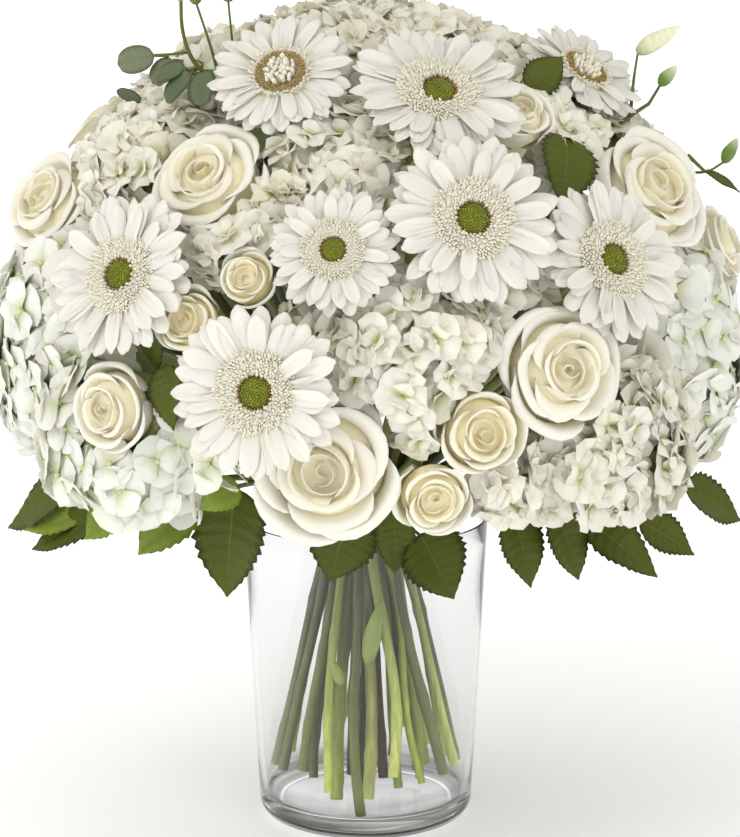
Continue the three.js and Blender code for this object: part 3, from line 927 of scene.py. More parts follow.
@dataclass(frozen=True)
class BudFinish(Finish):
    """A closed bud: green at its foot and cream at its tip."""

    name: str = "closed_bud"
    foot: Colour = hue("6f8a3a")
    tip: Colour = hue("eef0cf")

    def draw(self, paint: Paint) -> None:
        """Draws the material."""
        _, along, _ = paint.form
        grain = paint.grain(500.0, 500.0, 120.0, 3.0)
        place = paint.sum("ADD", along, paint.fit(paint.tone, 0.9, -0.45))
        colour = paint.ramp(place, (0.25, self.foot), (0.75, self.tip))
        paint.coat(paint.shade(colour, grain, 0.8, 1.15), grain, 0.2, 0.4)
        paint.bump(grain, 0.3, 0.0004)


@dataclass(frozen=True)
class GlassFinish(Finish):
    """Clear glass with the faintest unevenness of its drawn wall, and painted dark bands at the outer edge of
    its thick floor, standing in for the dark it refracts.
    """

    name: str = "vase_glass"
    tint: Colour = hue("f6f7f7")
    painted_dark: Colour = hue("5c605c")

    def draw(self, paint: Paint) -> None:
        """Draws the material."""
        drift = paint.grain(9.0, 9.0, 3.0, 1.0)
        low = paint.fit(paint.level(), -55.0, 1.6, clamp=True)
        swirl = paint.grain(16.0, 16.0, 210.0, 0.6)
        edge = paint.fit(paint.reach(), 80.0, -3.9, clamp=True)
        # Painted dark refraction: swirled dark bands darken the glass's colour at the outer edge of its thick
        # floor.
        painted_band = paint.times(paint.times(low, edge), paint.fit(swirl, 2.4, -0.5, clamp=True))
        colour = paint.mix(painted_band, self.tint, self.painted_dark)
        paint.set(Base_Color=colour, Roughness=0.0, IOR=1.4, Transmission_Weight=1.0)
        paint.bump(paint.sum("ADD", paint.times(drift, 0.25), paint.times(low, swirl)), 0.22, 0.001)


@dataclass(frozen=True)
class FloorFinish(Finish):
    """A white studio floor with the softest grain, which glows with painted light: more the farther it lies
    from just right of the vase, and in a painted pool of light under the vase.
    """

    name: str = "studio_floor"
    white: Colour = hue("f4f4f4")

    def draw(self, paint: Paint) -> None:
        """Draws the material."""
        grain = paint.noise(paint.spot(), 400.0, 2.0)
        paint.set(Base_Color=paint.shade(self.white, grain, 0.99, 1.0), Roughness=0.6, Specular_IOR_Level=0.2)
        # Painted light: the glow grows with the distance from a point just right of the vase, so the floor
        # reads white out to its edges and a grey shadow stays only by the vase.
        reach = paint.vectors("DISTANCE", paint.spot(), (0.1, -0.02, 0.0))
        far = paint.sum("MINIMUM", paint.fit(reach, 0.46, 0.2), 0.7)
        # Painted light: a brighter glow on the floor under the vase, where light through the glass would
        # gather.
        inner = paint.vectors("LENGTH", paint.spot())
        painted_glow_under_vase = paint.times(paint.fit(inner, -50.0, 3.4, clamp=True), 0.34)
        paint.set(Emission_Color=(0.94, 0.96, 1.0, 1.0), Emission_Strength=paint.sum("ADD", far, painted_glow_under_vase))


def colours(*codes: str) -> list[Colour]:
    """Several colours from their display codes."""
    return [hue(code) for code in codes]


class Finishes:
    """The arrangement's finishes."""

    gerbera = GerberaFinish()
    disc = DiscFinish("gerbera_disc", *colours("8c9426", "6c7418", "6f4c18", "c9a659"))
    pale_disc = DiscFinish("gerbera_disc_pale", *colours("ece8c8", "d8cc90", "94742a", "dcbe6a"))
    rose = RoseFinish("rose_petal", *colours("f6e9b2", "fbf7e6", "f8f6ec", "f4ecc4"))
    spray_rose = RoseFinish("spray_rose_petal", *colours("f3e096", "faf3d2", "f9f7ea", "f4eabc"))
    hydrangea = FloretFinish("hydrangea_floret", *colours("d6dda8", "f8f8f0", "ecf0d4"))
    stock = FloretFinish("stock_floret", *colours("cbd17e", "faf7ea", "f1efc8"))
    calyx = GreenFinish("calyx_green", *colours("93a855", "6c8638"))
    core = GreenFinish("head_inside", *colours("c6cf9a", "8d9c58"))
    twig = GreenFinish("twig_green", *colours("74803c", "444e24"))
    sheath = GreenFinish("stem_sheath", *colours("b9c77c", "8aa04c"))
    stem = StemFinish()
    bark = BarkFinish()
    leaf = LeafFinish("serrated_leaf", *colours("2b3106", "a3a850", "616c26"), 8.0, 0.27)
    young_leaf = LeafFinish("young_leaf", *colours("6d8226", "b9c878", "8fa44a"), 7.0, 0.36)
    eucalyptus = LeafFinish("eucalyptus_leaf", *colours("4b573a", "98a184", "868f76"), 6.0, 0.45)
    dark_eucalyptus = LeafFinish("dark_eucalyptus_leaf", *colours("3c482e", "7e8c6a", "6e7c5e"), 6.0, 0.4)
    bud = BudFinish()
    glass = GlassFinish()
    floor = FloorFinish()


# Where the blooms stand


@dataclass(frozen=True)
class Dome:
    """The rounded form that every bloom's face lies on."""

    centre: float = 270.0
    radius: float = 228.0
    rise: float = 226.0
    drop: float = 92.0

    def point(self, azimuth: float, elevation: float) -> Vector:
        """A point on the dome by degrees round and degrees up."""
        angle = radians(elevation)
        rise = self.rise if elevation >= 0 else self.drop
        return around(azimuth, self.radius * cos(angle), self.centre + rise * sin(angle))

    def normal(self, azimuth: float, elevation: float) -> Vector:
        """The way that the dome faces at a point."""
        spot = self.point(azimuth, elevation)
        rise = self.rise if elevation >= 0 else self.drop * 1.6
        flat = self.radius**2
        return Vector((spot.x / flat, spot.y / flat, (spot.z - self.centre) / rise**2)).normalized()


@dataclass
class Bloom:
    """A bloom's seat: its place on the dome, its width, its lift and how much it turns to the front."""

    name: str
    azimuth: float
    elevation: float
    width: float
    lift: float
    to_front: float
    dome: ClassVar[Dome] = Dome()
    collar: ClassVar[float] = -5.0
    hood: ClassVar[float] = 16.0
    front: ClassVar[Vector] = Vector((0, -0.972, 0.233))

    @property
    def height(self) -> float:
        """The bloom's own height, from its foot to its face."""
        return self.width * 0.42

    @property
    def sole(self) -> float:
        """How far below the foot the stem ends."""
        return 0.0

    @property
    def radius(self) -> float:
        """Half of the bloom's width."""
        return self.width / 2

    @property
    def normal(self) -> Vector:
        """The way that the bloom faces."""
        return self.dome.normal(self.azimuth, self.elevation).lerp(self.front, self.to_front).normalized()

    @property
    def foot(self) -> Vector:
        """The place where the bloom begins."""
        return self.dome.point(self.azimuth, self.elevation) + self.normal * (self.lift - self.height)

    @property
    def seed(self) -> int:
        """A fixed number of its own for each bloom."""
        return int(scatter(self.azimuth * 3.7 + self.elevation * 11.3 + self.width) * 9999)

    @property
    def polar(self) -> float:
        """Degrees from the top of the dome down to the bloom."""
        return 90 - self.elevation

    def covers(self, spot: Vector) -> bool:
        """Whether a place lies within the bloom or just over its face."""
        up = (spot - self.foot).dot(self.normal)
        aside = (spot - self.foot - self.normal * up).length
        return 0 < up < self.height + self.hood and aside < self.radius + self.collar

    def matrix(self) -> Matrix:
        """From the bloom's own frame, in metres, to its place."""
        turn = UP.rotation_difference(self.normal).to_matrix().to_4x4()
        return Matrix.Translation(self.foot * MM) @ turn

    def plant(self, meshes: Sequence[Mesh], slot: str, part: str = "") -> None:
        """Makes a piece of meshes in its own frame.

        Args:
            meshes: The meshes.
            slot: The record's material slot.
            part: What the node's name adds to the bloom's.
        """
        for mesh in meshes:
            mesh.transform(self.matrix())
        piece(f"{self.name}{part}_look", meshes, self.name + part, slot)


# Gerbera


class Middle(Enum):
    """The look of a gerbera's middle."""

    GREEN = "green"
    CREAM = "cream"


@dataclass
class Gerbera(Bloom):
    """A gerbera: three layers of strap petals, a frill of short ones and a packed middle."""

    middle: Middle = Middle.GREEN
    layers: tuple[Ring, ...] = (
        (20, 1.0, 4.2, -8.0),
        (20, 0.95, 5.8, -7.0),
        (14, 0.84, 7.6, -6.4),
    )
    bracts: tuple[Ring, ...] = ((13, 0.36, 14.0, -9.6), (11, 0.27, 26.0, -10.2))
    frill: tuple[int, float, float] = (560, 0.195, 0.455)
    short_frill: tuple[int, float, float] = (70, 0.35, 0.4)
    disc_share: float = 0.17
    chance: ClassVar[Draw] = Random(11).uniform
    kits: ClassVar[dict[str, Kit]] = {}

    @property
    def height(self) -> float:
        """The bloom's own height, from its foot to its face."""
        return 9 + self.width * 0.07

    @classmethod
    def prepare(cls) -> None:
        """Draws the families of petals, frill, bracts and middle florets."""
        cls.kits = {
            "strap": Kit("strap_petal", [cls.strap() for _ in range(9)]),
            "frill": Kit("frill_tip", [cls.frill_tip() for _ in range(6)]),
            "bract": Kit("bract", [cls.bract() for _ in range(3)]),
            "bead": Kit("disc_floret", [cls.bead(0.0, 1.0) for _ in range(4)]),
            "anther": Kit("anther", [cls.bead(1.0, 1.9) for _ in range(4)]),
        }

    @classmethod
    def strap(cls) -> Shape:
        """A strap petal of length 1 along +X, with two grooves, a rounded notched tip and its own bend.

        Returns:
            The petal.
        """
        arch, droop, twist = cls.chance(0.03, 0.08), cls.chance(-0.02, 0.07), cls.chance(-0.05, 0.05)
        cup, yaw = cls.chance(-0.045, 0.03), cls.chance(-0.025, 0.025)
        notch, wide = cls.chance(0.0, 0.014), cls.chance(0.108, 0.13)
        grid: Grid = []
        for i in range(10):
            t = 1 - (1 - i / 9) ** 1.5
            row = []
            half = wide * (0.46 + 0.54 * smooth(0.0, 0.7, t))
            half *= sqrt(1 - (0.9 * max(0.0, t - 0.76) / 0.24) ** 2.4)
            for j in range(7):
                u = j / 3 - 1
                end = 1.0 - 0.04 * abs(u) ** 2.2 - notch * (0.5 + 0.5 * cos(3 * pi * u)) * (0.4 + abs(u))
                x = 0.13 + (end - 0.13) * t
                ridge = 0.012 * cos(3 * pi * u) * smooth(0.0, 0.3, t) * (1 - 0.5 * t)
                z = arch * sin(pi * t * 0.85) - droop * t**3 + twist * u * t * 0.4
                z += cup * u * u * smooth(0.1, 0.6, t) + ridge
                row.append(Vector((x, u * half + yaw * t * t, z)))
            grid.append(row)
        shape = Shape()
        shape.shell(grid, 0.012)
        return shape

    @classmethod
    def frill_tip(cls) -> Shape:
        """A tiny curled tip of the frill, which stands along +Z and leans to one side.

        Returns:
            The tip.
        """
        length, lean = cls.chance(2.4, 4.0), cls.chance(-0.5, 0.5)
        shape = Shape()
        profile = [(0.0, -0.8), (0.6, 0.0), (0.9, length * 0.55), (0.55, length * 0.92), (0.0, length)]
        shape.turned(profile, 4, layer=1.0)
        shape.points = [p + Vector((lean * (p.z / length) ** 2, 0, 0)) for p in shape.points]
        return shape

    @classmethod
    def bract(cls) -> Shape:
        """A pointed green scale of the calyx, of length 1.

        Returns:
            The scale.
        """
        wide = cls.chance(0.14, 0.18)
        grid: Grid = []
        for i, t in enumerate((0.0, 0.35, 0.7, 1.0)):
            x, half, z = 0.2 + 0.8 * t, wide * (0.9, 1.0, 0.66, 0.08)[i], 0.06 * sin(t * 3)
            grid.append([Vector((x, half * u, z - 0.05 * u * u)) for u in (-1, -0.4, 0.4, 1)])
        shape = Shape()
        shape.shell(grid, 0.03)
        return shape

    @classmethod
    def bead(cls, layer: float, length: float) -> Shape:
        """A tiny five-sided floret that stands along +Z.

        Args:
            layer: 0 for a green one and 1 for a gold anther.
            length: Its length against its width.

        Returns:
            The floret.
        """
        shape = Shape()
        reach = cls.chance(0.9, 1.1) * length
        profile = [(0.0, -0.6), (0.75, -0.3), (1.0, 0.5 * reach), (0.5, reach), (0.0, reach * 0.8)]
        shape.turned(profile, 5, layer)
        return shape

    def rings(self) -> list[Mesh]:
        """The petals, the frill and the bracts under them.

        Returns:
            The meshes in its own frame.
        """
        seed, flower, calyx = self.seed, Finishes.gerbera, Finishes.calyx
        band = self.frill if self.middle is Middle.GREEN else self.short_frill
        made = [self.ring("strap", flower, row, seed * 0.7 + k * 0.16, seed + k * 20)
                for k, row in enumerate(self.layers)]
        made.append(self.strewn("frill", flower, band, (-2.0, 0.9, -0.6), (0.3, 1.5), 0.0205, 0.35))
        made.append(self.pad(*band[1:]))
        made += [self.ring("bract", calyx, row, k * 0.2, seed + k * 20 + 13)
                 for k, row in enumerate(self.bracts)]
        return made

    def ring(self, family: str, finish: Finish, row: Ring, turn: float, seed: int) -> Mesh:
        """One ring of petals or bracts.

        Args:
            family: The family of shapes.
            finish: Their finish.
            row: Their count, their size as a share of the radius, their tilt and their level under the face.
            turn: Turns the ring.
            seed: Sets its spread.

        Returns:
            The mesh in its own frame.
        """
        count, size, tilt, level = row
        return settle(ring_tree(), Shapes=self.kits[family].collection, Finish=finish, Count=count, Turn=turn,
                      Tilt=radians(tilt), Rise=max(1.0, self.height + level) * MM,
                      Size=self.radius * MM * size, Loose=1.0, Seed=seed)

    def pad(self, inner: float, outer: float) -> Mesh:
        """The swelling that the frill grows on.

        Args:
            inner: Its inner radius as a share of the bloom's.
            outer: Its outer radius as a share of the bloom's.

        Returns:
            The mesh in its own frame.
        """
        rows = ((0.0, -5.0), (outer - 0.03, -4.8), (outer, -3.6), (outer - 0.04, -2.3),
                (blend(inner, outer, 0.5), -0.4), (inner + 0.01, -1.3), (inner - 0.005, -4.5), (0.0, -4.5))
        profile = [(share * self.radius, self.height + level) for share, level in rows]
        return lathe("pad", profile, 28, Finishes.gerbera, layer=1.0)

    def build(self) -> None:
        """Builds the petals and the middle as two pieces."""
        H, R, disc = self.height, self.radius, self.disc_share * self.radius
        cup = [(0.0, 0.0), (0.07 * R, 0.0), (0.1 * R, H * 0.2), (0.24 * R, H - 7.6), (0.2 * R, H - 5.0),
               (0.0, H - 5.0)]
        base = [(0.0, H - 4.2), (disc * 0.9, H - 4.0), (disc * 1.1, H - 2.6), (disc * 0.8, H - 1.7),
                (disc * 0.4, H - 1.1), (0.0, H - 1.1)]
        self.plant([*self.rings(), lathe("cup", cup, 20, Finishes.calyx)], "petal", "_petals")
        finish = Finishes.disc if self.middle is Middle.GREEN else Finishes.pale_disc
        self.plant([lathe("base", base, 24, finish, 0.3), *self.packed()], "disc", "_centre")

    def packed(self) -> list[Mesh]:
        """The florets of the middle and the ring of anthers round them.

        Returns:
            The meshes in its own frame.
        """
        disc, finish = self.disc_share, Finishes.disc
        if self.middle is Middle.GREEN:
            band = (90, 0.0, disc * 0.95)
            inside = ("bead", finish, band, (-0.7, 0.0, -1.3), (0.0, 0.5), disc * 0.09, 0.12)
            ring = (48, disc * 0.98, disc * 1.22)
        else:
            flower, finish = Finishes.gerbera, Finishes.pale_disc
            inside = ("frill", flower, (34, 0.0, disc * 1.25), (-2.0, 0.6, -0.6), (-0.2, 0.2), 0.042, 0.2)
            ring = (170, disc * 1.3, disc * 2.0)
        anthers = self.strewn("anther", finish, ring, (-2.2, 0.3, 0.2), (0.3, 0.5), disc * 0.085, 0.3)
        return [self.strewn(*inside), anthers]

    def strewn(self, family: str, finish: Finish, band: tuple[int, float, float],
               levels: Spot, lean: tuple[float, float], size: float, loose: float) -> Mesh:
        """Small shapes packed in a spiral over a disc or a ring.

        Args:
            family: The family of shapes.
            finish: Their finish.
            band: How many there are, and the inner and outer radius as shares of the bloom's.
            levels: Millimetres from the face at the inner edge, the hump between, and the rise outwards.
            lean: How far they lean outwards at the inner and the outer edge.
            size: Their size as a share of the bloom's radius.
            loose: How unevenly they lean.

        Returns:
            The mesh in its own frame.
        """
        count, inner, outer = band
        start, hump, rise = levels
        spots, aims = [], []
        for k in range(count):
            share = (k + 0.5) / count
            reach = sqrt(blend(inner**2, outer**2, share))
            across = (reach - inner) / (outer - inner)
            way = Vector((cos(k * GOLDEN), sin(k * GOLDEN), 0))
            level = self.height + start + hump * sin(pi * across) + rise * across**2
            spots.append(way * reach * self.radius + Vector((0, 0, level)))
            aims.append(way * blend(*lean, across) + UP)
        ground, shapes = points_mesh(spots, aims), self.kits[family].collection
        return settle(cover_tree(), ground, Shapes=shapes, Finish=finish, Size=size * self.radius * MM,
                      Spread=0.2, Loose=loose, Seed=self.seed)


# Rose


@dataclass
class Rose(Bloom):
    """A rose: petals wound round a bud by the golden angle, open outside and closed in the heart."""

    tall: ClassVar[float] = 1.17
    large: int = 17
    small: int = 14
    heart: ClassVar[Profile] = [
        (0.0, 0.15), (0.3, 0.18), (0.58, 0.38), (0.7, 0.62), (0.6, 0.8),
        (0.48, 0.9), (0.34, 0.95), (0.22, 0.93), (0.1, 0.9), (0.0, 0.89),
    ]
    collar: ClassVar[float] = 1.0
    proud: float = 0.0
    pale: bool = False
    kits: ClassVar[dict[int, Kit]] = {}

    @property
    def height(self) -> float:
        """The bloom's own height, from its foot to its face."""
        return 8 + self.width * 0.5

    @property
    def count(self) -> int:
        """How many petals it has."""
        return self.large if self.width >= 76 else self.small

    def matrix(self) -> Matrix:
        """From the bloom's own frame, in metres, to its place, proud of its neighbours where it has to be."""
        return Matrix.Translation(self.normal * self.proud * MM) @ super().matrix()

    @classmethod
    def prepare(cls) -> None:
        """Draws the petals of a large and a small rose, from the heart outwards."""
        for count, tight in ((cls.large, 0.0), (cls.small, 0.12)):
            chance = Random(count).uniform
            shapes = [cls.petal(k / (count - 1), tight, chance) for k in range(count)]
            cls.kits[count] = Kit(f"rose_petal_{count}", shapes)

    @staticmethod
    def petal(s: float, tight: float, chance: Draw) -> Shape:
        """A rose petal for a bloom of radius 1.

        Args:
            s: Its place from the heart, 0, to the outside, 1.
            tight: How much more closed the bloom is.
            chance: Where its own bend comes from.

        Returns:
            The petal, round the Z axis and facing along +X.
        """
        tall = Rose.tall
        open_ = smooth(0.12, 0.5, s) * (1 - tight)
        lip = 0.07 + 0.93 * s**0.92 * (1 - chance(0.0, 0.07) * open_)
        drop = 0.25 * max(0.0, (s - 0.25) / 0.75) ** 1.25
        level = tall * (0.92 + 0.08 * smooth(0.0, 0.3, s) - drop) + chance(-0.04, 0.035) * open_
        hug = lip - blend(0.02, 0.27, open_)
        half = radians(blend(112, 58, s**0.5))
        foot = 0.04 + 0.1 * s
        wave = chance(0.0, pi * 2)
        corners = [(chance(-0.6, -0.05), chance(0.2, 1.0)), (chance(0.05, 0.6), chance(0.2, 1.0))]
        curl = chance(0.03, 0.12) * open_
        grid: Grid = []
        rows, columns = 13, 13
        for i in range(rows):
            v = 1 - (1 - i / (rows - 1)) ** 1.5
            row = []
            for j in range(columns):
                u = 2 * j / (columns - 1) - 1
                top = 1 - 0.04 * u * u - 0.24 * abs(u) ** 5
                roll = curl * (1 + 0.8 * sin(2.2 * u + wave))
                point = sum(much * max(0.0, 1 - abs(u - place) / 0.5) for place, much in corners)
                shoulder = level + blend(-0.1, 0.09, open_) + roll
                ends = [
                    Vector((foot, 0.1 * tall)),
                    Vector((blend(lip * 1.5 + 0.1, hug * 1.5, open_), blend(0.3, 0.12, s) * tall)),
                    Vector((blend(lip * 1.1 + 0.02, hug * 0.92, open_), shoulder)),
                    Vector((lip, level - roll)),
                ]
                reach, height = bezier(ends, v * top)
                reach += (0.012 + 0.046 * open_) * point * v**4
                reach -= 0.03 * open_ * u * u * v**3
                height += 0.02 * sin(3.3 * u + wave) * v**3 * (0.2 + open_)
                angle = u * half
                row.append(Vector((reach * cos(angle), reach * sin(angle), height)))
            grid.append(row)
        shape = Shape()
        shape.shell(grid, -0.014 - 0.006 * s, layer=s)
        shape.faces = [tuple(reversed(face)) for face in shape.faces]
        return shape

    def hip(self) -> Mesh:
        """The green hip and the sepals under the petals.

        Returns:
            The mesh in its own frame.
        """
        R, H = self.radius, self.height
        shape = Shape()
        rows = ((0.0, 0.0), (0.09, 0.0), (0.15, 0.05), (0.17, 0.1), (0.1, 0.16), (0.0, 0.16))
        shape.turned([(across * R, up * H) for across, up in rows], 16)
        for k in range(5):
            start = len(shape.points)
            grid = []
            for i, t in enumerate((0.0, 0.3, 0.6, 0.85, 1.0)):
                half = R * (0.09, 0.12, 0.08, 0.035, 0.008)[i]
                reach = R * (0.12 + 0.4 * t)
                level = H * (0.1 - 0.02 * t + 0.14 * t * t)
                grid.append([Vector((reach, half * u, level - 0.4 * abs(u))) for u in (-1, -0.35, 0.35, 1)])
            shape.shell(grid, 0.7)
            shape.place(Matrix.Rotation(2 * pi * k / 5, 4, "Z"), start)
        shape.place(Matrix.Scale(MM, 4))
        return shape.mesh("hip", Finishes.calyx)

    def build(self) -> None:
        """Builds the rose as one piece."""
        finish = Finishes.rose if self.count == self.large or self.pale else Finishes.spray_rose
        shapes, turn = self.kits[self.count].collection, self.seed * 0.37
        petals = settle(spiral_tree(), Shapes=shapes, Finish=finish, Count=self.count, Turn=turn,
                        Size=self.radius * MM, Loose=1.0, Seed=self.seed)
        stretch = Matrix.Diagonal((1, 1, self.height / self.radius / self.tall, 1))
        petals.transform(stretch)
        heart = Shape()
        heart.turned(self.heart, 24, layer=0.3)
        heart.place(stretch @ Matrix.Scale(self.radius * MM, 4))
        self.plant([petals, heart.mesh("heart", finish, 0.4), self.hip()], "rose")


# Heads of small florets


class HeadKind(Enum):
    """What a head is made of: its florets' family, spacing, size and looseness."""

    HYDRANGEA = ("hydrangea", 17.2, 16.6, 0.42)
    STOCK = ("stock", 16.4, 15.0, 0.38)


@dataclass
class Head(Bloom):
    """A rounded head of small florets, which wrap round it and sink into it by turns."""

    wrap: ClassVar[float] = 1.62
    sink: ClassVar[float] = 7.0

    @property
    def skirt(self) -> float:
        """The height that a low head's florets end at."""
        return 235.0 if self.azimuth < 0 else 229.0

    @property
    def sole(self) -> float:
        """How far below the foot the stem ends."""
        return -0.1 * self.width

    @property
    def kind(self) -> HeadKind:
        """Hydrangea, or stock and carnation with ruffled florets."""
        smooth_heads = self.name.startswith("hydrangea") and self.name != "hydrangea_right_lower"
        return HeadKind.HYDRANGEA if smooth_heads else HeadKind.STOCK

    @property
    def low(self) -> bool:
        """Whether it hangs over the vase in front, where it is flat below."""
        return self.elevation < -4 and abs(self.azimuth) < 60

    def middle(self) -> Vector:
        """The middle of the head."""
        return self.foot + self.normal * (self.height * 0.3)

    def spots(self, spacing: float) -> tuple[list[Vector], list[Vector]]:
        """Even places over the whole head, with the way that each one faces.

        Args:
            spacing: The distance between them.

        Returns:
            The places and the ways, in the object's frame.
        """
        R, up, down = self.radius, self.height * 0.7, self.radius * (0.2 if self.low else 0.42)
        count = int(4.2 * pi * R * R * 0.8 / spacing**2)
        turn = UP.rotation_difference(self.normal).to_matrix()
        spots, aims = [], []
        for k in range(count):
            z = 1 - (k + 0.5) / count * self.wrap
            angle = k * GOLDEN + self.seed
            r = sqrt(max(0.0, 1 - z * z))
            way = Vector((r * cos(angle), r * sin(angle), z))
            tall = up if z > 0 else down
            sink = scatter(k + self.seed * 0.01) * self.sink
            spot = Vector((way.x * (R - sink), way.y * (R - sink), way.z * (tall - sink)))
            aim = Vector((way.x / R, way.y / R, way.z / tall)).normalized()
            spots.append(self.middle() + turn @ spot)
            aims.append(turn @ aim)
        return spots, aims


def covered(spot: Vector) -> bool:
    """Whether a place lies within a gerbera or a rose, or just over its face."""
    return any(bloom.covers(spot) for bloom in (*GERBERAS, *ROSES))


class Cluster:
    """One node's heads, which grow together. Florets lie within a reach of the node's own skin, in metres."""

    reach: ClassVar[float] = 0.0075
    drawn_in: ClassVar[float] = 0.86
    flattened: ClassVar[float] = 0.72
    back_limit: ClassVar[float] = -0.2
    chance: ClassVar[Draw] = Random(5).uniform
    kits: ClassVar[dict[str, Kit]] = {}

    def __init__(self, heads: Sequence[Head]) -> None:
        """Takes the heads of one node."""
        self.heads = heads

    @classmethod
    def prepare(cls) -> None:
        """Draws the families of florets."""
        cls.kits = {
            "hydrangea": Kit("hydrangea_floret", [cls.four_sepals() for _ in range(8)]),
            "stock": Kit("stock_floret", [cls.ruffled() for _ in range(8)]),
        }

    @classmethod
    def four_sepals(cls) -> Shape:
        """A hydrangea floret of radius 1: four round sepals and a tiny bead.

        Returns:
            The floret, facing along +Z.
        """
        shape = Shape()
        for k in range(4):
            start = len(shape.points)
            lift = 0.06 * (k % 2) + cls.chance(0.0, 0.1)
            cup, droop = cls.chance(-0.16, 0.12), cls.chance(0.0, 0.26)
            wide, length = cls.chance(0.56, 0.68), cls.chance(0.9, 1.08)
            grid: Grid = []
            for i, t in enumerate((0.0, 0.36, 0.74, 1.0)):
                half = wide * (0.16, 0.84, 1.0, 0.64)[i]
                row = []
                for u in (-1, -0.36, 0.36, 1):
                    x = 0.04 + (length - 0.04) * t - 0.13 * abs(u) * t * t
                    z = lift + 0.16 * t - droop * t * t + cup * u * u * t + cls.chance(-0.04, 0.04) * t
                    row.append(Vector((x + cls.chance(-0.03, 0.03) * t, half * u, z)))
                grid.append(row)
            shape.shell(grid, 0.05, plain=True)
            shape.place(Matrix.Rotation(pi / 2 * k + cls.chance(-0.14, 0.14), 4, "Z"), start)
        shape.turned([(0.0, 0.0), (0.11, 0.06), (0.09, 0.2), (0.0, 0.25)], 5, layer=1.0)
        return shape

    @classmethod
    def ruffled(cls) -> Shape:
        """A stock or carnation floret of radius 1: two whorls of waved petals.

        Returns:
            The floret, facing along +Z.
        """
        shape = Shape()
        for k in range(8):
            start = len(shape.points)
            inner = k >= 5
            length = cls.chance(0.5, 0.66) if inner else cls.chance(0.88, 1.06)
            tilt = cls.chance(0.75, 1.15) if inner else cls.chance(0.12, 0.5)
            wave, wide = cls.chance(0, 6.28), (0.42 if inner else 0.6)
            grid: Grid = []
            for i, t in enumerate((0.0, 0.55, 1.0)):
                half = wide * (0.14, 0.86, 0.86)[i]
                row = []
                for u in (-1, -0.36, 0.36, 1):
                    ruffle = 0.13 * sin(3.1 * u + wave) * t * t + cls.chance(-0.05, 0.05) * t
                    x = 0.03 + length * t * (1 - 0.24 * abs(u) ** 2) + 0.05 * cls.chance(-1, 1) * t
                    row.append(Vector((x, half * u, ruffle - 0.1 * t * t)))
                grid.append(row)
            shape.shell(grid, 0.05, plain=True)
            turn = Matrix.Rotation(2 * pi * k / 5 + (1.9 * k if inner else 0) + cls.chance(-0.2, 0.2), 4, "Z")
            shape.place(turn @ Matrix.Rotation(-tilt, 4, "Y"), start)
        return shape

    def core(self) -> Mesh:
        """The node's own solid drawn in a little, as the dim inside between the florets.

        Returns:
            The mesh.
        """
        source = frame["nodes"][self.heads[0].name]
        work = bmesh.new()
        work.from_mesh(source.data)
        bmesh.ops.remove_doubles(work, verts=work.verts, dist=1e-5)
        middles = [head.middle() * MM for head in self.heads]
        for vert in work.verts:
            middle = min(middles, key=lambda m: (vert.co - m).length)
            offset = (vert.co - middle) * self.drawn_in
            offset.z *= self.flattened if offset.z < 0 else 1.0
            vert.co = middle + offset
            if self.heads[0].low:
                vert.co.z = max(vert.co.z, blend(self.heads[0].skirt * MM, vert.co.z, 0.2))
        mesh = bpy.data.meshes.new("core")
        work.to_mesh(mesh)
        work.free()
        mesh.shade_smooth()
        mesh.materials.clear()
        mesh.materials.append(Finishes.core.material)
        for polygon in mesh.polygons:
            polygon.material_index = 0
        return mesh

    def build(self) -> None:
        """Builds the node's heads as one piece."""
        name = self.heads[0].name
        source = frame["nodes"][name].data
        skin = BVHTree.FromPolygons([v.co for v in source.vertices], [p.vertices for p in source.polygons])
        meshes = [self.core()]
        twigs: list[Line] = []
        for head in self.heads:
            family, spacing, size, loose = head.kind.value
            spots, aims = head.spots(spacing)
            kept = []
            for spot, aim in zip(spots, aims):
                inside = any(self.within(spot, other) for other in self.heads if other is not head)
                inside = inside or (head.low and spot.z < head.skirt)
                inside = inside or covered(spot)
                near = skin.find_nearest(spot * MM, self.reach)[0] is not None
                if near and not inside:
                    kept.append((spot, aim))
            for filler in FILLERS:
                if filler.name == head.name and head is self.heads[0]:
                    kept += [(spot, aim) for spot, aim in zip(*filler.spots(spacing))
                             if aim.dot(filler.normal) > self.back_limit and not covered(spot)]
                    twigs.append([(head.middle(), 1.6, 0.5), (filler.middle(), 1.2, 0.5)])
            ground = points_mesh([s for s, _ in kept], [a for _, a in kept])
            finish = Finishes.hydrangea if head.kind is HeadKind.HYDRANGEA else Finishes.stock
            meshes.append(settle(cover_tree(), ground, Shapes=self.kits[family].collection, Finish=finish,
                                 Size=size * MM, Spread=0.16, Loose=loose, Seed=head.seed))
        if twigs:
            meshes.append(settle(tube_tree(), lines_mesh(twigs), Finish=Finishes.twig, Sides=6))
        piece(f"{name}_look", meshes, name, "floret")

    @staticmethod
    def within(spot: Vector, head: Head) -> bool:
        """Whether a place lies well inside a head."""
        turn = UP.rotation_difference(head.normal).to_matrix()
        local = turn.inverted() @ (spot - head.middle())
        tall = head.height * 0.7 if local.z > 0 else head.radius * 0.42
        return (local.x / head.radius) ** 2 + (local.y / head.radius) ** 2 + (local.z / tall) ** 2 < 0.8


# Leaves and sprigs


class Edge(Enum):
    """The edge of a leaf."""

    SERRATED = "serrated"
    ROUND = "round"


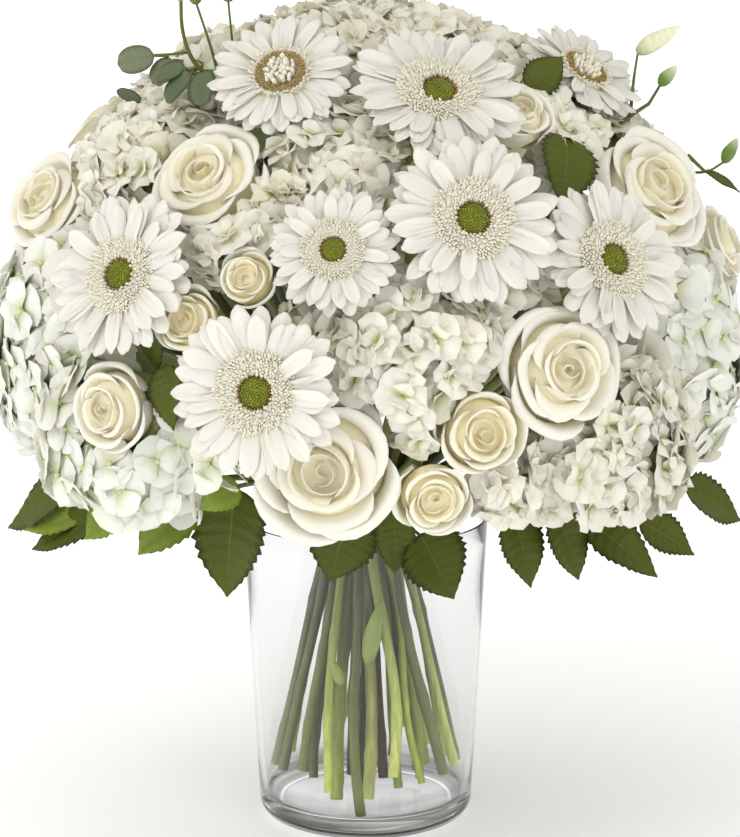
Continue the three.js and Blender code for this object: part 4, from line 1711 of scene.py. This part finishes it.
@dataclass
class Leaf:
    """One leaf: the start of its stalk, its root, its tip, its width and the way it faces."""

    start: Spot
    root: Spot
    tip: Spot
    width: float
    facing: tuple[float, float]
    edge: Edge = Edge.SERRATED
    teeth: int = 12
    thick: float = 0.7
    fold: float = 0.2
    arch: float = 0.1

    def half(self, t: float) -> float:
        """Half of the blade's width at a share of its length, as a share of its widest."""
        if self.edge is Edge.ROUND:
            return sqrt(max(0.0, 1 - (2 * t - 1) ** 2)) * (1 + 0.08 * t)
        return t**0.55 * max(0.0, 1 - t) ** 1.12 / 0.345

    def mesh(self, finish: Finish, seed: float) -> Mesh:
        """Draws the leaf.

        Args:
            finish: Its finish.
            seed: Sets its own waves.

        Returns:
            The mesh in place.
        """
        base, end = around(*self.root), around(*self.tip)
        length = (end - base).length
        y = (end - base).normalized()
        x = y.cross(around(self.facing[0], 1, self.facing[1])).normalized()
        z = x.cross(y)
        serrated = self.edge is Edge.SERRATED
        rows, columns = (4 * self.teeth + 1, 9) if serrated else (13, 7)
        grid: Grid = []
        for i in range(rows):
            t = i / (rows - 1)
            tooth = 0.0
            if serrated:
                cycle = (t * self.teeth + 0.15) % 1.0
                size = 0.1 + 0.14 * scatter(int(t * self.teeth + 0.15) + seed)
                tooth = (cycle - 0.4) * size if 0.03 < t < 0.97 else 0.0
            half = max(0.004, self.half(t) * (1 + tooth)) * self.width / 2
            row = []
            for j in range(columns):
                u = 2 * j / (columns - 1) - 1
                bulge = sin(pi * t)
                lean = 0.035 * abs(u) ** 3 * (bulge if serrated else 0.0)
                wave = 0.022 * length * sin(t * 7 + seed * 9 + (2 if u > 0 else 0)) * abs(u) ** 1.5 * bulge
                quilt = 0.006 * length * sin(t * 8 * 2 * pi - abs(u) * 6) * sin(pi * abs(u))
                lift = self.fold * abs(u) * half + wave + (quilt if serrated else 0.0)
                lift -= self.arch * length * t * t
                row.append(base + y * (length * (t + lean)) - x * (u * half) + z * lift)
            grid.append(row)
        shape = Shape()
        shape.shell([[p * MM for p in row] for row in grid], -self.thick * MM)
        top = rows * columns
        shape.form = [(a, b, 0.0 if k < top else 1.0) for k, (a, b, _) in enumerate(shape.form)]
        shape.faces = [tuple(reversed(face)) for face in shape.faces]
        return shape.mesh("leaf", finish, scatter(seed))


@dataclass
class Spray:
    """A leafy stem: its twigs, its leaves and its closed buds."""

    name: str
    twigs: tuple
    leaves: tuple
    buds: tuple = ()
    edge: Edge = Edge.SERRATED
    young: tuple = ()

    def build(self) -> None:
        """Builds the spray as one piece."""
        serrated = self.edge is Edge.SERRATED
        finish = Finishes.leaf if serrated else Finishes.eucalyptus
        fresh = Finishes.young_leaf if serrated else Finishes.dark_eucalyptus
        lines = []
        for radius, *places in self.twigs:
            way = rounded([around(*p) for p in places], 10.0)
            lines.append([(p, radius * blend(1.1, 0.6, k / len(way)), 0.5) for k, p in enumerate(way)])
        for row in (*self.leaves, *self.young):
            start, root, tip = (around(*row[k]) for k in range(3))
            inner = root + (tip - root) * 0.06
            stalk = ((start, 1.3), (start.lerp(root, 0.5), 1.1), (root, 1.0), (inner, 0.6))
            lines.append([(point, girth, 0.5) for point, girth in stalk])
        meshes = [settle(tube_tree(), lines_mesh(lines), Finish=Finishes.twig, Sides=8)]
        for k, row in enumerate(self.leaves):
            meshes.append(Leaf(*row, edge=self.edge).mesh(finish, k * 3.3 + len(self.name)))
        for k, row in enumerate(self.young):
            meshes.append(Leaf(*row, edge=self.edge, teeth=8).mesh(fresh, k * 2.7 + len(self.name)))
        for k, (width, foot, tip) in enumerate(self.buds):
            tone = (0.9, 0.35, 0.2)[k % 3]
            meshes.append(self.bud(width, around(*foot), around(*tip), Finishes.bud, tone))
        piece(f"{self.name}_look", meshes, self.name, "leaf" if serrated else "eucalyptus")

    @staticmethod
    def bud(width: float, foot: Vector, tip: Vector, finish: Finish, tone: float) -> Mesh:
        """A closed bud of wound petals on a short green cup.

        Args:
            width: Its width.
            foot: Where it begins.
            tip: Where it ends.
            finish: Its finish.
            tone: Its shade, from green to cream.

        Returns:
            The mesh in place.
        """
        length = (tip - foot).length
        shape = Shape()
        profile = [(0.0, 0.0), (0.2, 0.02), (0.4, 0.14), (0.5, 0.32), (0.47, 0.5), (0.37, 0.7),
                   (0.22, 0.87), (0.1, 0.97), (0.0, 1.0)]

        def wound(angle: float, share: float) -> tuple[float, float]:
            """Lapping ridges that turn as they climb."""
            return 1 + 0.1 * sin(3 * angle) * smooth(0.2, 0.5, share), 1.6 * share

        shape.turned([(r * width, z * length) for r, z in profile], 18, bend=wound)
        turn = UP.rotation_difference((tip - foot).normalized()).to_matrix().to_4x4()
        shape.place(Matrix.Scale(MM, 4) @ Matrix.Translation(foot) @ turn)
        return shape.mesh("bud", finish, tone)


def rounded(points: Sequence[Vector], reach: float) -> list[Vector]:
    """A line with its corners rounded off.

    Args:
        points: The line's corners.
        reach: How far from each corner the bend begins.

    Returns:
        The points of the line.
    """
    way = [points[0]]
    for before, corner, after in zip(points, points[1:], points[2:]):
        back, ahead = before - corner, after - corner
        start = corner + back.normalized() * min(reach, back.length * 0.45)
        end = corner + ahead.normalized() * min(reach, ahead.length * 0.45)
        for k in range(6):
            t = k / 5
            way.append(start * (1 - t) ** 2 + corner * (2 * t * (1 - t)) + end * t * t)
    way.append(points[-1])
    return way


# Stems


@dataclass
class Bunch:
    """The stems, gathered at a waist above the vase's mouth and spread again on its floor."""

    blooms: Sequence[Bloom]
    waist: float = 200.0
    rings: tuple[tuple[int, float], ...] = ((12, 10.6), (18, 15.8))
    woody_ring: float = 3.3
    spread: float = 3.5
    swirl: float = 0.3
    lowest: float = 14.1
    step: float = 3.1
    neck: float = 34.0
    entry: float = 3.0
    bend: float = 26.0
    bow_steps: int = 24
    deepest: float = 96.0
    woody: tuple[str, ...] = ("stock_middle", "carnation_top", "stock_back")
    sheaths: tuple = (
        (11.0, (1, -35, 104), (9, -33, 142)),
        (7.0, (-14, -38, 92), (-20, -32, 106)),
    )
    forks: ClassVar[dict[str, str]] = {
        "spray_rose_centre": "rose_lower_left",
        "spray_rose_left": "rose_lower_left",
        "spray_rose_low": "rose_lower_right",
        "stock_inner": "stock_centre",
        "rose_far_right": "rose_upper_right",
        "rose_top_right": "rose_front_right",
        "rose_back_right": "rose_back_centre",
    }

    def parent(self, bloom: Bloom) -> Bloom | None:
        """The bloom whose stem this one forks from, if it does."""
        first = next(other for other in self.blooms if other.name == bloom.name)
        if first is not bloom:
            return first
        return next((other for other in self.blooms if other.name == self.forks.get(bloom.name)), None)

    @cached_property
    def places(self) -> dict[int, complex]:
        """Gives each bloom with a stem of its own a place at the waist.

        Returns:
            The places by the bloom's number.
        """
        free = [cmath.rect(radius, 2 * pi * (k + 0.5) / count)
                for count, radius in self.rings for k in range(count)]
        outer = abs(free[-1])
        shared: dict[int, complex] = {}
        own = [(k, b) for k, b in enumerate(self.blooms) if self.parent(b) is None]
        green = [row for row in own if row[1].name not in self.woody]
        for number, bloom in sorted(green, key=lambda row: row[1].polar, reverse=True):
            reach = outer * min(1.0, sqrt(bloom.polar / self.deepest))
            angle = radians(bloom.azimuth)
            wanted = complex(reach * sin(angle), -reach * cos(angle))
            free.sort(key=lambda place: abs(place - wanted))
            shared[number] = free.pop(0)
        for k, (number, _) in enumerate(row for row in own if row[1].name in self.woody):
            shared[number] = cmath.rect(self.woody_ring, 2 * pi * k / len(self.woody))
        return shared

    def way(self, number: int) -> list[Vector]:
        """A stem's way, from its foot or its parent's waist to a little inside its bloom.

        Args:
            number: The bloom's number.

        Returns:
            The way's corners.
        """
        bloom = self.blooms[number]
        parent = self.parent(bloom)
        numbers = {id(other): k for k, other in enumerate(self.blooms)}
        place = self.places[numbers[id(parent)] if parent else number]
        waist = Vector((place.real, place.imag, self.waist))
        neck = bloom.foot + bloom.normal * (bloom.sole - self.neck)
        tip = bloom.foot + bloom.normal * (bloom.sole + self.entry)
        if parent:
            return [waist, neck, tip]
        outward = abs(place) / self.rings[1][1]
        rise = self.step * (scatter(number + 3) * 4 + 4 * outward**4) if number else 0.0
        turned = place * cmath.exp(1j * self.swirl) * self.spread
        return [Vector((turned.real, turned.imag, self.lowest + rise)), waist, neck, tip]

    def line(self, number: int) -> Line:
        """A stem's points with their girth and tone.

        Args:
            number: The bloom's number.

        Returns:
            The line.
        """
        corners = self.way(number)
        fork = len(corners) == 3
        wood = self.blooms[number].name in self.woody
        tone = scatter(number * 2.3 + 5)
        full = 2.5 if fork else (3.9 if wood else blend(2.8, 4.9, scatter(number + 0.4)))
        way = rounded(corners, self.bend)
        if not fork:
            foot, bend = way[0], way[1]
            across = Vector((foot.y, -foot.x, 0)).normalized()
            sway, twist = blend(-6.0, 6.0, scatter(number * 5.1)), blend(-4.0, 4.0, scatter(number * 7.7))
            steps = [k / self.bow_steps for k in range(self.bow_steps)]
            bows = [sway * sin(pi * t) + twist * sin(2 * pi * t) for t in steps]
            way = [foot.lerp(bend, t) + across * bow for t, bow in zip(steps, bows)] + way[1:]
        knots = [blend(30, 90, scatter(number * 3.3)), blend(95, 160, scatter(number * 4.9))]
        rows = []
        for point in way:
            thin = 0.86 if fork else 0.86 - 0.06 * sin(pi * min(1.0, point.z / 190))
            swell = sum(0.16 * exp(-(((point.z - knot) / 5) ** 2)) for knot in knots)
            rows.append((point, full * (thin + swell), tone))
        return rows

    def build(self) -> None:
        """Builds the green and the woody stems as two pieces."""
        for node, finish, slot, wood in (
            ("stems_green", Finishes.stem, "stem", False),
            ("stems_woody", Finishes.bark, "wood", True),
        ):
            lines = [self.line(k) for k, bloom in enumerate(self.blooms)
                     if (bloom.name in self.woody) is wood]
            meshes = [settle(tube_tree(), lines_mesh(lines), Finish=finish, Sides=12)]
            if not wood:
                meshes += [
                    Spray.bud(width, Vector(foot), Vector(tip), Finishes.sheath, 0.6)
                    for width, foot, tip in self.sheaths
                ]
            piece(f"{node}_look", meshes, node, slot)


# Vase


@dataclass
class Vase:
    """A tapered vase of clear glass with a thick floor."""

    height: float = 188.0
    rim: float = 74.0
    base: float = 64.0
    wall: float = 3.6
    lip: float = 1.3
    floor: float = 13.0
    corner: float = 11.0
    inner_corner: float = 6.0
    sides: int = 96

    def side(self, z: float, inset: float = 0.0) -> float:
        """The wall's radius at a height."""
        return self.base + (self.rim - self.base) * z / self.height - inset

    def profile(self) -> Profile:
        """The outline from the middle of the underside to the middle of the inner floor."""

        def arc(r: float, z: float, radius: float, start: float, end: float, steps: int = 8) -> Profile:
            """Points on an arc between two angles in degrees."""
            turns = [radians(start + (end - start) * k / steps) for k in range(steps + 1)]
            return [(r + radius * cos(a), z + radius * sin(a)) for a in turns]

        rise, lip, turn, top = self.corner, self.lip / 2, self.inner_corner, self.height
        inside = self.floor + turn
        wall = [rise + (top - rise) * k / 12 for k in range(1, 12)]
        inner = [inside + (top - self.floor - turn) * k / 12 for k in range(11, 0, -1)]
        return [
            (0.0, 0.8),
            (self.base * 0.6, 0.5),
            (self.side(rise) - rise - 2.0, 0.0),
            *arc(self.side(rise) - rise, rise, rise, -90, 0),
            *[(self.side(z), z) for z in wall],
            *arc(self.side(top) - lip, top - lip, lip, 0, 180),
            *[(self.side(z, blend(self.wall, self.lip, smooth(120, top, z))), z) for z in inner],
            *arc(self.side(self.floor, self.wall) - turn, inside, turn, 0, -90, 6),
            (0.0, self.floor),
        ]

    def build(self) -> Object:
        """Builds the vase as one piece.

        Returns:
            The piece.
        """
        glass = lathe("vase", self.profile(), self.sides, Finishes.glass)
        return piece("vase_look", [glass], "vase", "glass")


# Studio


@dataclass
class Studio:
    """A white floor, soft light from the upper left and a camera at the photograph's angle."""

    elevation: float = 13.5
    distance: float = 2500.0
    target: Spot = (2.7, 0.0, 246.6)
    view_height: float = 502.2
    sensor: float = 36.0
    sky: float = 0.76
    floor: float = 7.0
    lamps: tuple[tuple[str, Spot, float, float], ...] = (
        ("key", (-1.5, -1.7, 2.1), 18.5, 1.3),
        ("fill", (1.9, -1.9, 1.5), 14.0, 1.6),
        ("side", (-2.2, -1.1, 0.4), 6.5, 1.2),
    )

    def build(self) -> None:
        """Sets up the floor, the light and the camera."""
        self.camera()
        self.world()
        for lamp in self.lamps:
            self.light(*lamp)
        mesh = bpy.data.meshes.new("floor")
        corners = [(x * self.floor, y * self.floor, 0) for x, y in ((-1, -1), (1, -1), (1, 1), (-1, 1))]
        mesh.from_pydata(corners, [], [(0, 1, 2, 3)])
        mesh.materials.append(Finishes.floor.material)
        floor = show("studio_floor", mesh)
        bpy.context.scene.view_settings.view_transform = "Standard"

    def camera(self) -> None:
        """Places the camera."""
        data = bpy.data.cameras.new("camera")
        data.sensor_width = self.sensor
        data.lens = self.sensor * self.distance / self.view_height
        data.clip_end = 100
        camera = show("camera", data)
        angle = radians(self.elevation)
        way = Vector((0, -cos(angle), sin(angle)))
        camera.location = (Vector(self.target) + way * self.distance) * MM
        camera.rotation_euler = (pi / 2 - angle, 0, 0)
        bpy.context.scene.camera = camera

    def world(self) -> None:
        """Draws a white backdrop whose light is brighter from above than from the sides."""
        world = bpy.data.worlds.new("studio")
        world.use_nodes = True
        graph = Graph(world.node_tree)
        graph.tree.nodes.clear()
        way = graph.node("ShaderNodeTexCoord", {}).outputs["Generated"]
        height = graph.node("ShaderNodeSeparateXYZ", {0: way}).outputs["Z"]
        shade = graph.ramp(height, (0.0, (0.5, 0.48, 0.42, 1)), (0.75, (1.0, 0.985, 0.94, 1)))
        soft = graph.add("ShaderNodeBackground", {"Color": shade, "Strength": self.sky})
        plain = graph.add("ShaderNodeBackground", {"Color": (1, 1, 1, 1)})
        seen = graph.node("ShaderNodeLightPath", {}).outputs["Is Camera Ray"]
        mix = graph.add("ShaderNodeMixShader", {0: seen, 1: soft, 2: plain})
        graph.node("ShaderNodeOutputWorld", {0: mix})
        bpy.context.scene.world = world

    @staticmethod
    def shine_through(glass: Object) -> None:
        """Lets the lamps' light pass the glass without a shadow, as real light does.

        Args:
            glass: The piece of glass.
        """
        clear = bpy.data.collections.new("clear_glass")
        clear.objects.link(glass)
        clear.collection_objects[0].light_linking.link_state = "EXCLUDE"
        for lamp in [thing for thing in bpy.data.objects if thing.type == "LIGHT"]:
            lamp.light_linking.blocker_collection = clear

    def light(self, name: str, place: Spot, power: float, size: float) -> None:
        """Adds a soft square light that faces the bouquet.

        Args:
            name: Its name.
            place: Where it stands, in metres.
            power: Its power in watts.
            size: Its side in metres.
        """
        data = bpy.data.lights.new(name, "AREA")
        data.energy, data.size, data.color = power, size, (1.0, 0.98, 0.93)
        light = show(name, data)
        light.location = place
        aim = Vector((0, 0, 0.3)) - Vector(place)
        light.rotation_euler = aim.to_track_quat("-Z", "Y").to_euler()


# The arrangement's own tables


GERBERAS = [Gerbera("gerbera_" + name, *row) for name, *row in (
    ("front_low", -15, 11, 97, 11, 0.1),
    ("front_high", 18, 35, 99, 11, 0.25),
    ("left", -40, 25, 95, 9, 0.15),
    ("right", 42, 27, 95, 7, 0.1),
    ("centre", -5, 31, 74, 9, 0.2),
    ("top_right", 19, 57, 101, 9, 0.1),
    ("top_left", -25, 61, 84, 9, 0.35, Middle.CREAM),
    ("crown_right", 78, 56, 78, 9, 0.25, Middle.CREAM),
    ("back_left", -132, 25, 96, 10, 0),
    ("back_right", 128, 32, 94, 10, 0),
    ("back_top", 178, 58, 98, 10, 0),
)]
ROSES = [
    Rose("rose_front_low", -6, 0, 94, 1, 0.1),
    Rose("rose_front_right", 31, 13, 84, 3, 0.15),
    Rose("rose_upper_left", -34, 43, 80, 1, 0.1),
    Rose("rose_upper_right", 66, 36, 86, 8, 0.3),
    Rose("rose_far_left", -76, 32, 76, 7, 0.3),
    Rose("rose_lower_right", 17, 5, 58, 0, 0.15),
    Rose("rose_lower_left", -40, 6, 58, 5, 0.15, pale=True),
    Rose("rose_top_right", 39, 53, 50, 1, 0.15, proud=7.0, pale=True),
    Rose("rose_far_right", 84, 23, 58, 9, 0.15, pale=True),
    Rose("spray_rose_low", 10, -11, 50, 3, 0.15),
    Rose("spray_rose_left", -28, 20, 46, 2, 0.15),
    Rose("spray_rose_centre", -19, 27, 38, 2, 0.15),
    Rose("rose_back_left", -108, 42, 78, 3, 0),
    Rose("rose_back_centre", 163, 8, 84, 3, 0),
    Rose("rose_back_right", 152, 36, 72, 3, 0),
]
HEADS = [Head(*row) for row in (
    ("hydrangea_left_upper", -70, 14, 138, 0, 0),
    ("hydrangea_left_lower", -43, -5, 110, 0, 0.1),
    ("hydrangea_right_upper", 74, 12, 140, 0, 0),
    ("hydrangea_right_lower", 44, -11, 112, 0, 0.1),
    ("stock_centre", 8, 16, 94, 1, 0.1),
    ("stock_left", -66, 47, 100, -2, 0),
    ("stock_left", -94, 62, 98, -4, 0),
    ("stock_inner", -25, 36, 60, -4, 0),
    ("stock_middle", -5, 50, 88, -4, 0),
    ("carnation_top", -58, 79, 104, 0, 0),
    ("carnation_top", 136, 76, 118, -2, 0),
    ("carnation_right", 66, 51, 90, -3, 0),
    ("carnation_right", 100, 62, 104, -3, 0),
    ("hydrangea_back_left", -106, 6, 152, 0, 0),
    ("hydrangea_back_centre", -147, -3, 150, 0, 0),
    ("hydrangea_back_centre", -179, 1, 134, -2, 0),
    ("hydrangea_back_right", 109, 2, 152, 0, 0),
    ("hydrangea_back_right", 143, -3, 138, 0, 0),
    ("stock_back", -150, 45, 118, -2, 0),
    ("stock_back", 175, 31, 118, -4, 0),
)]

FILLERS = [Head(*row) for row in (
    ("stock_centre", 25, 23, 46, -10, 0.1),
    ("stock_centre", -8, 22, 40, -14, 0.1),
    ("stock_centre", 30, 30, 40, -14, 0.1),
    ("stock_centre", 19, 12, 44, -12, 0.1),
    ("hydrangea_right_lower", 21, -9, 42, -4, 0.1),
    ("hydrangea_left_lower", -22, -4, 22, -6, 0.1),
    ("carnation_right", 80, 42, 60, 0, 0),
    ("carnation_right", 105, 30, 66, -10, 0),
    ("carnation_top", 45, 71, 60, -10, 0),
    ("hydrangea_back_left", -102, 27, 62, -12, 0),
    ("hydrangea_left_upper", -57, 27, 44, -12, 0),
    ("stock_back", 160, 47, 50, -8, 0),
    ("hydrangea_back_right", 143, 20, 52, -10, 0),
    ("hydrangea_back_centre", -163, 17, 52, -10, 0),
)]

# Twigs: a radius, then places as degrees round, distance from the axis and height.

SPRAYS = [
    Spray(
        "leaves_left",
        twigs=((2, (-64, 21, 213), (-62, 90, 221), (-64, 150, 220), (-68, 180, 219)),),
        leaves=(
            ((-66, 165, 220), (-68, 184, 221), (-79, 220, 193), 40, (-60, 1)),
            ((-63, 140, 220), (-57, 176, 214), (-70, 212, 188), 34, (-40, 1.1)),
        ),
        young=(
            ((-64, 150, 220), (-64, 184, 207), (-70, 214, 199), 22, (-60, 0.8)),
            ((-62, 120, 221), (-47, 186, 230), (-52, 206, 207), 32, (-40, 0.7)),
        ),
    ),
    Spray(
        "leaves_front_left",
        twigs=((2, (-33, 22, 216), (-33, 70, 226), (-33, 115, 232), (-31, 130, 236)),),
        leaves=(
            ((-32, 118, 233), (-29, 152, 238), (-31, 159, 173), 46, (-24, 0.25)),
            ((-33, 115, 232), (-38, 194, 316), (-33.5, 212, 342), 22, (-35, 0.2)),
            ((-33, 115, 232), (-33, 204, 318), (-29.5, 219, 286), 22, (-30, 0.2)),
        ),
        young=(
            ((-33, 110, 231), (-34, 172, 236), (-42, 196, 203), 36, (-30, 0.5)),
            ((-32, 118, 233), (-22, 188, 250), (-27.5, 202, 238), 22, (-24, 0.5)),
        ),
    ),
    Spray(
        "leaves_front",
        twigs=((2, (-4, 22, 216), (-4, 50, 221), (-2, 74, 221)),),
        leaves=(
            ((-4, 50, 221), (-5, 98, 216), (-12, 101, 172), 42, (-4, 0.2)),
            ((-2, 68, 221), (9, 106, 217), (9, 111, 180), 24, (10, 0.3)),
            ((-2, 72, 221), (17, 106, 202), (26, 120, 165), 40, (20, 0.3)),
        ),
        young=(((-2, 40, 221), (8, 134, 431), (14, 155, 447), 24, (10, 0.8)),),
    ),
    Spray(
        "leaves_right",
        twigs=((2, (50, 22, 214), (46, 90, 222), (48, 130, 221), (62, 172, 214), (70, 186, 214)),),
        leaves=(
            ((46, 96, 222), (35, 146, 222), (38, 158, 176), 28, (26, 0.35)),
            ((48, 128, 221), (43, 160, 222), (46, 174, 180), 30, (34, 0.35)),
            ((50, 138, 220), (50, 166, 212), (57, 204, 181), 32, (38, 0.6)),
            ((58, 162, 216), (61, 182, 206), (66, 212, 187), 28, (44, 0.7)),
            ((68, 183, 214), (74, 196, 216), (79, 229, 197), 38, (56, 1)),
        ),
    ),
    Spray(
        "sprig_right",
        twigs=(
            (1.8, (78, 22, 214), (72, 70, 330), (70, 130, 416), (77, 158, 436), (82, 167, 441)),
            (1.0, (77, 158, 436), (82, 158, 456), (84, 160, 471)),
            (0.9, (82, 167, 441), (82, 174, 453)),
            (1.1, (72, 138, 419), (92, 168, 400), (87, 200, 397), (87, 212, 405)),
        ),
        leaves=(
            ((70, 124, 408), (51, 147, 433), (41, 172, 402), 36, (45, 1)),
            ((71, 132, 417), (56, 113, 455), (66, 125, 474), 22, (20, 0.7)),
            ((86, 190, 409), (87, 200, 399), (87, 222, 388), 10, (60, 0.9)),
        ),
        buds=(
            (11, (84, 159, 470), (84, 184, 486)),
            (8, (82, 173, 452), (82, 183, 464)),
            (8, (87, 211, 404), (87, 219, 419)),
        ),
    ),
    Spray(
        "sprig_left",
        twigs=(
            (1.7, (-62, 22, 214), (-64, 66, 340), (-64, 90, 430), (-66, 98, 458), (-68, 109, 470),
             (-70, 113, 487), (-72, 112, 504)),
            (0.9, (-69, 108, 474), (-70, 116, 473), (-72, 128, 472)),
            (1.1, (-64, 90, 432), (-65, 94, 462), (-66, 98, 478), (-70, 104, 502)),
            (1.0, (-64, 88, 428), (-62, 86, 470), (-64, 88, 504)),
        ),
        leaves=(
            ((-71, 120, 472), (-72, 128, 472), (-75, 149, 467), 16, (-20, 0.2)),
            ((-70, 112, 468), (-71, 117, 469), (-72, 130, 456), 14, (-20, 0.3)),
            ((-69, 101, 465), (-68, 112, 462), (-64, 99, 446), 15, (-20, 0.4)),
        ),
        young=(
            ((-64, 90, 450), (-54, 127, 470), (-61, 138, 464), 15, (-50, 0.9)),
            ((-64, 90, 450), (-51, 127, 468), (-55, 140, 452), 19, (-50, 0.9)),
            ((-64, 90, 450), (-47, 124, 470), (-43, 137, 453), 18, (-40, 0.9)),
            ((-69, 99, 450), (-72, 136, 445), (-76, 149, 452), 7, (-60, 0.9)),
        ),
        buds=(
            (9, (-72, 112, 503), (-72, 113, 515)),
            (8, (-70, 104, 501), (-70, 105, 513)),
            (10, (-64, 88, 503), (-64, 88, 516)),
        ),
        edge=Edge.ROUND,
    ),
]


def main() -> None:
    """Builds the studio and every piece in order, and notes the sizes."""
    logging.basicConfig(level=logging.INFO, format="%(name)s: %(message)s")
    studio = Studio()
    studio.build()
    for family in (Gerbera, Rose, Cluster):
        family.prepare()
    for bloom in [*GERBERAS, *ROSES]:
        bloom.build()
    for name in dict.fromkeys(head.name for head in HEADS):
        Cluster([head for head in HEADS if head.name == name]).build()
    for spray in SPRAYS:
        spray.build()
    Bunch([*GERBERAS, *ROSES, *HEADS]).build()
    studio.shine_through(Vase().build())
    Kit.clear()


if __name__ == "__main__":
    main()
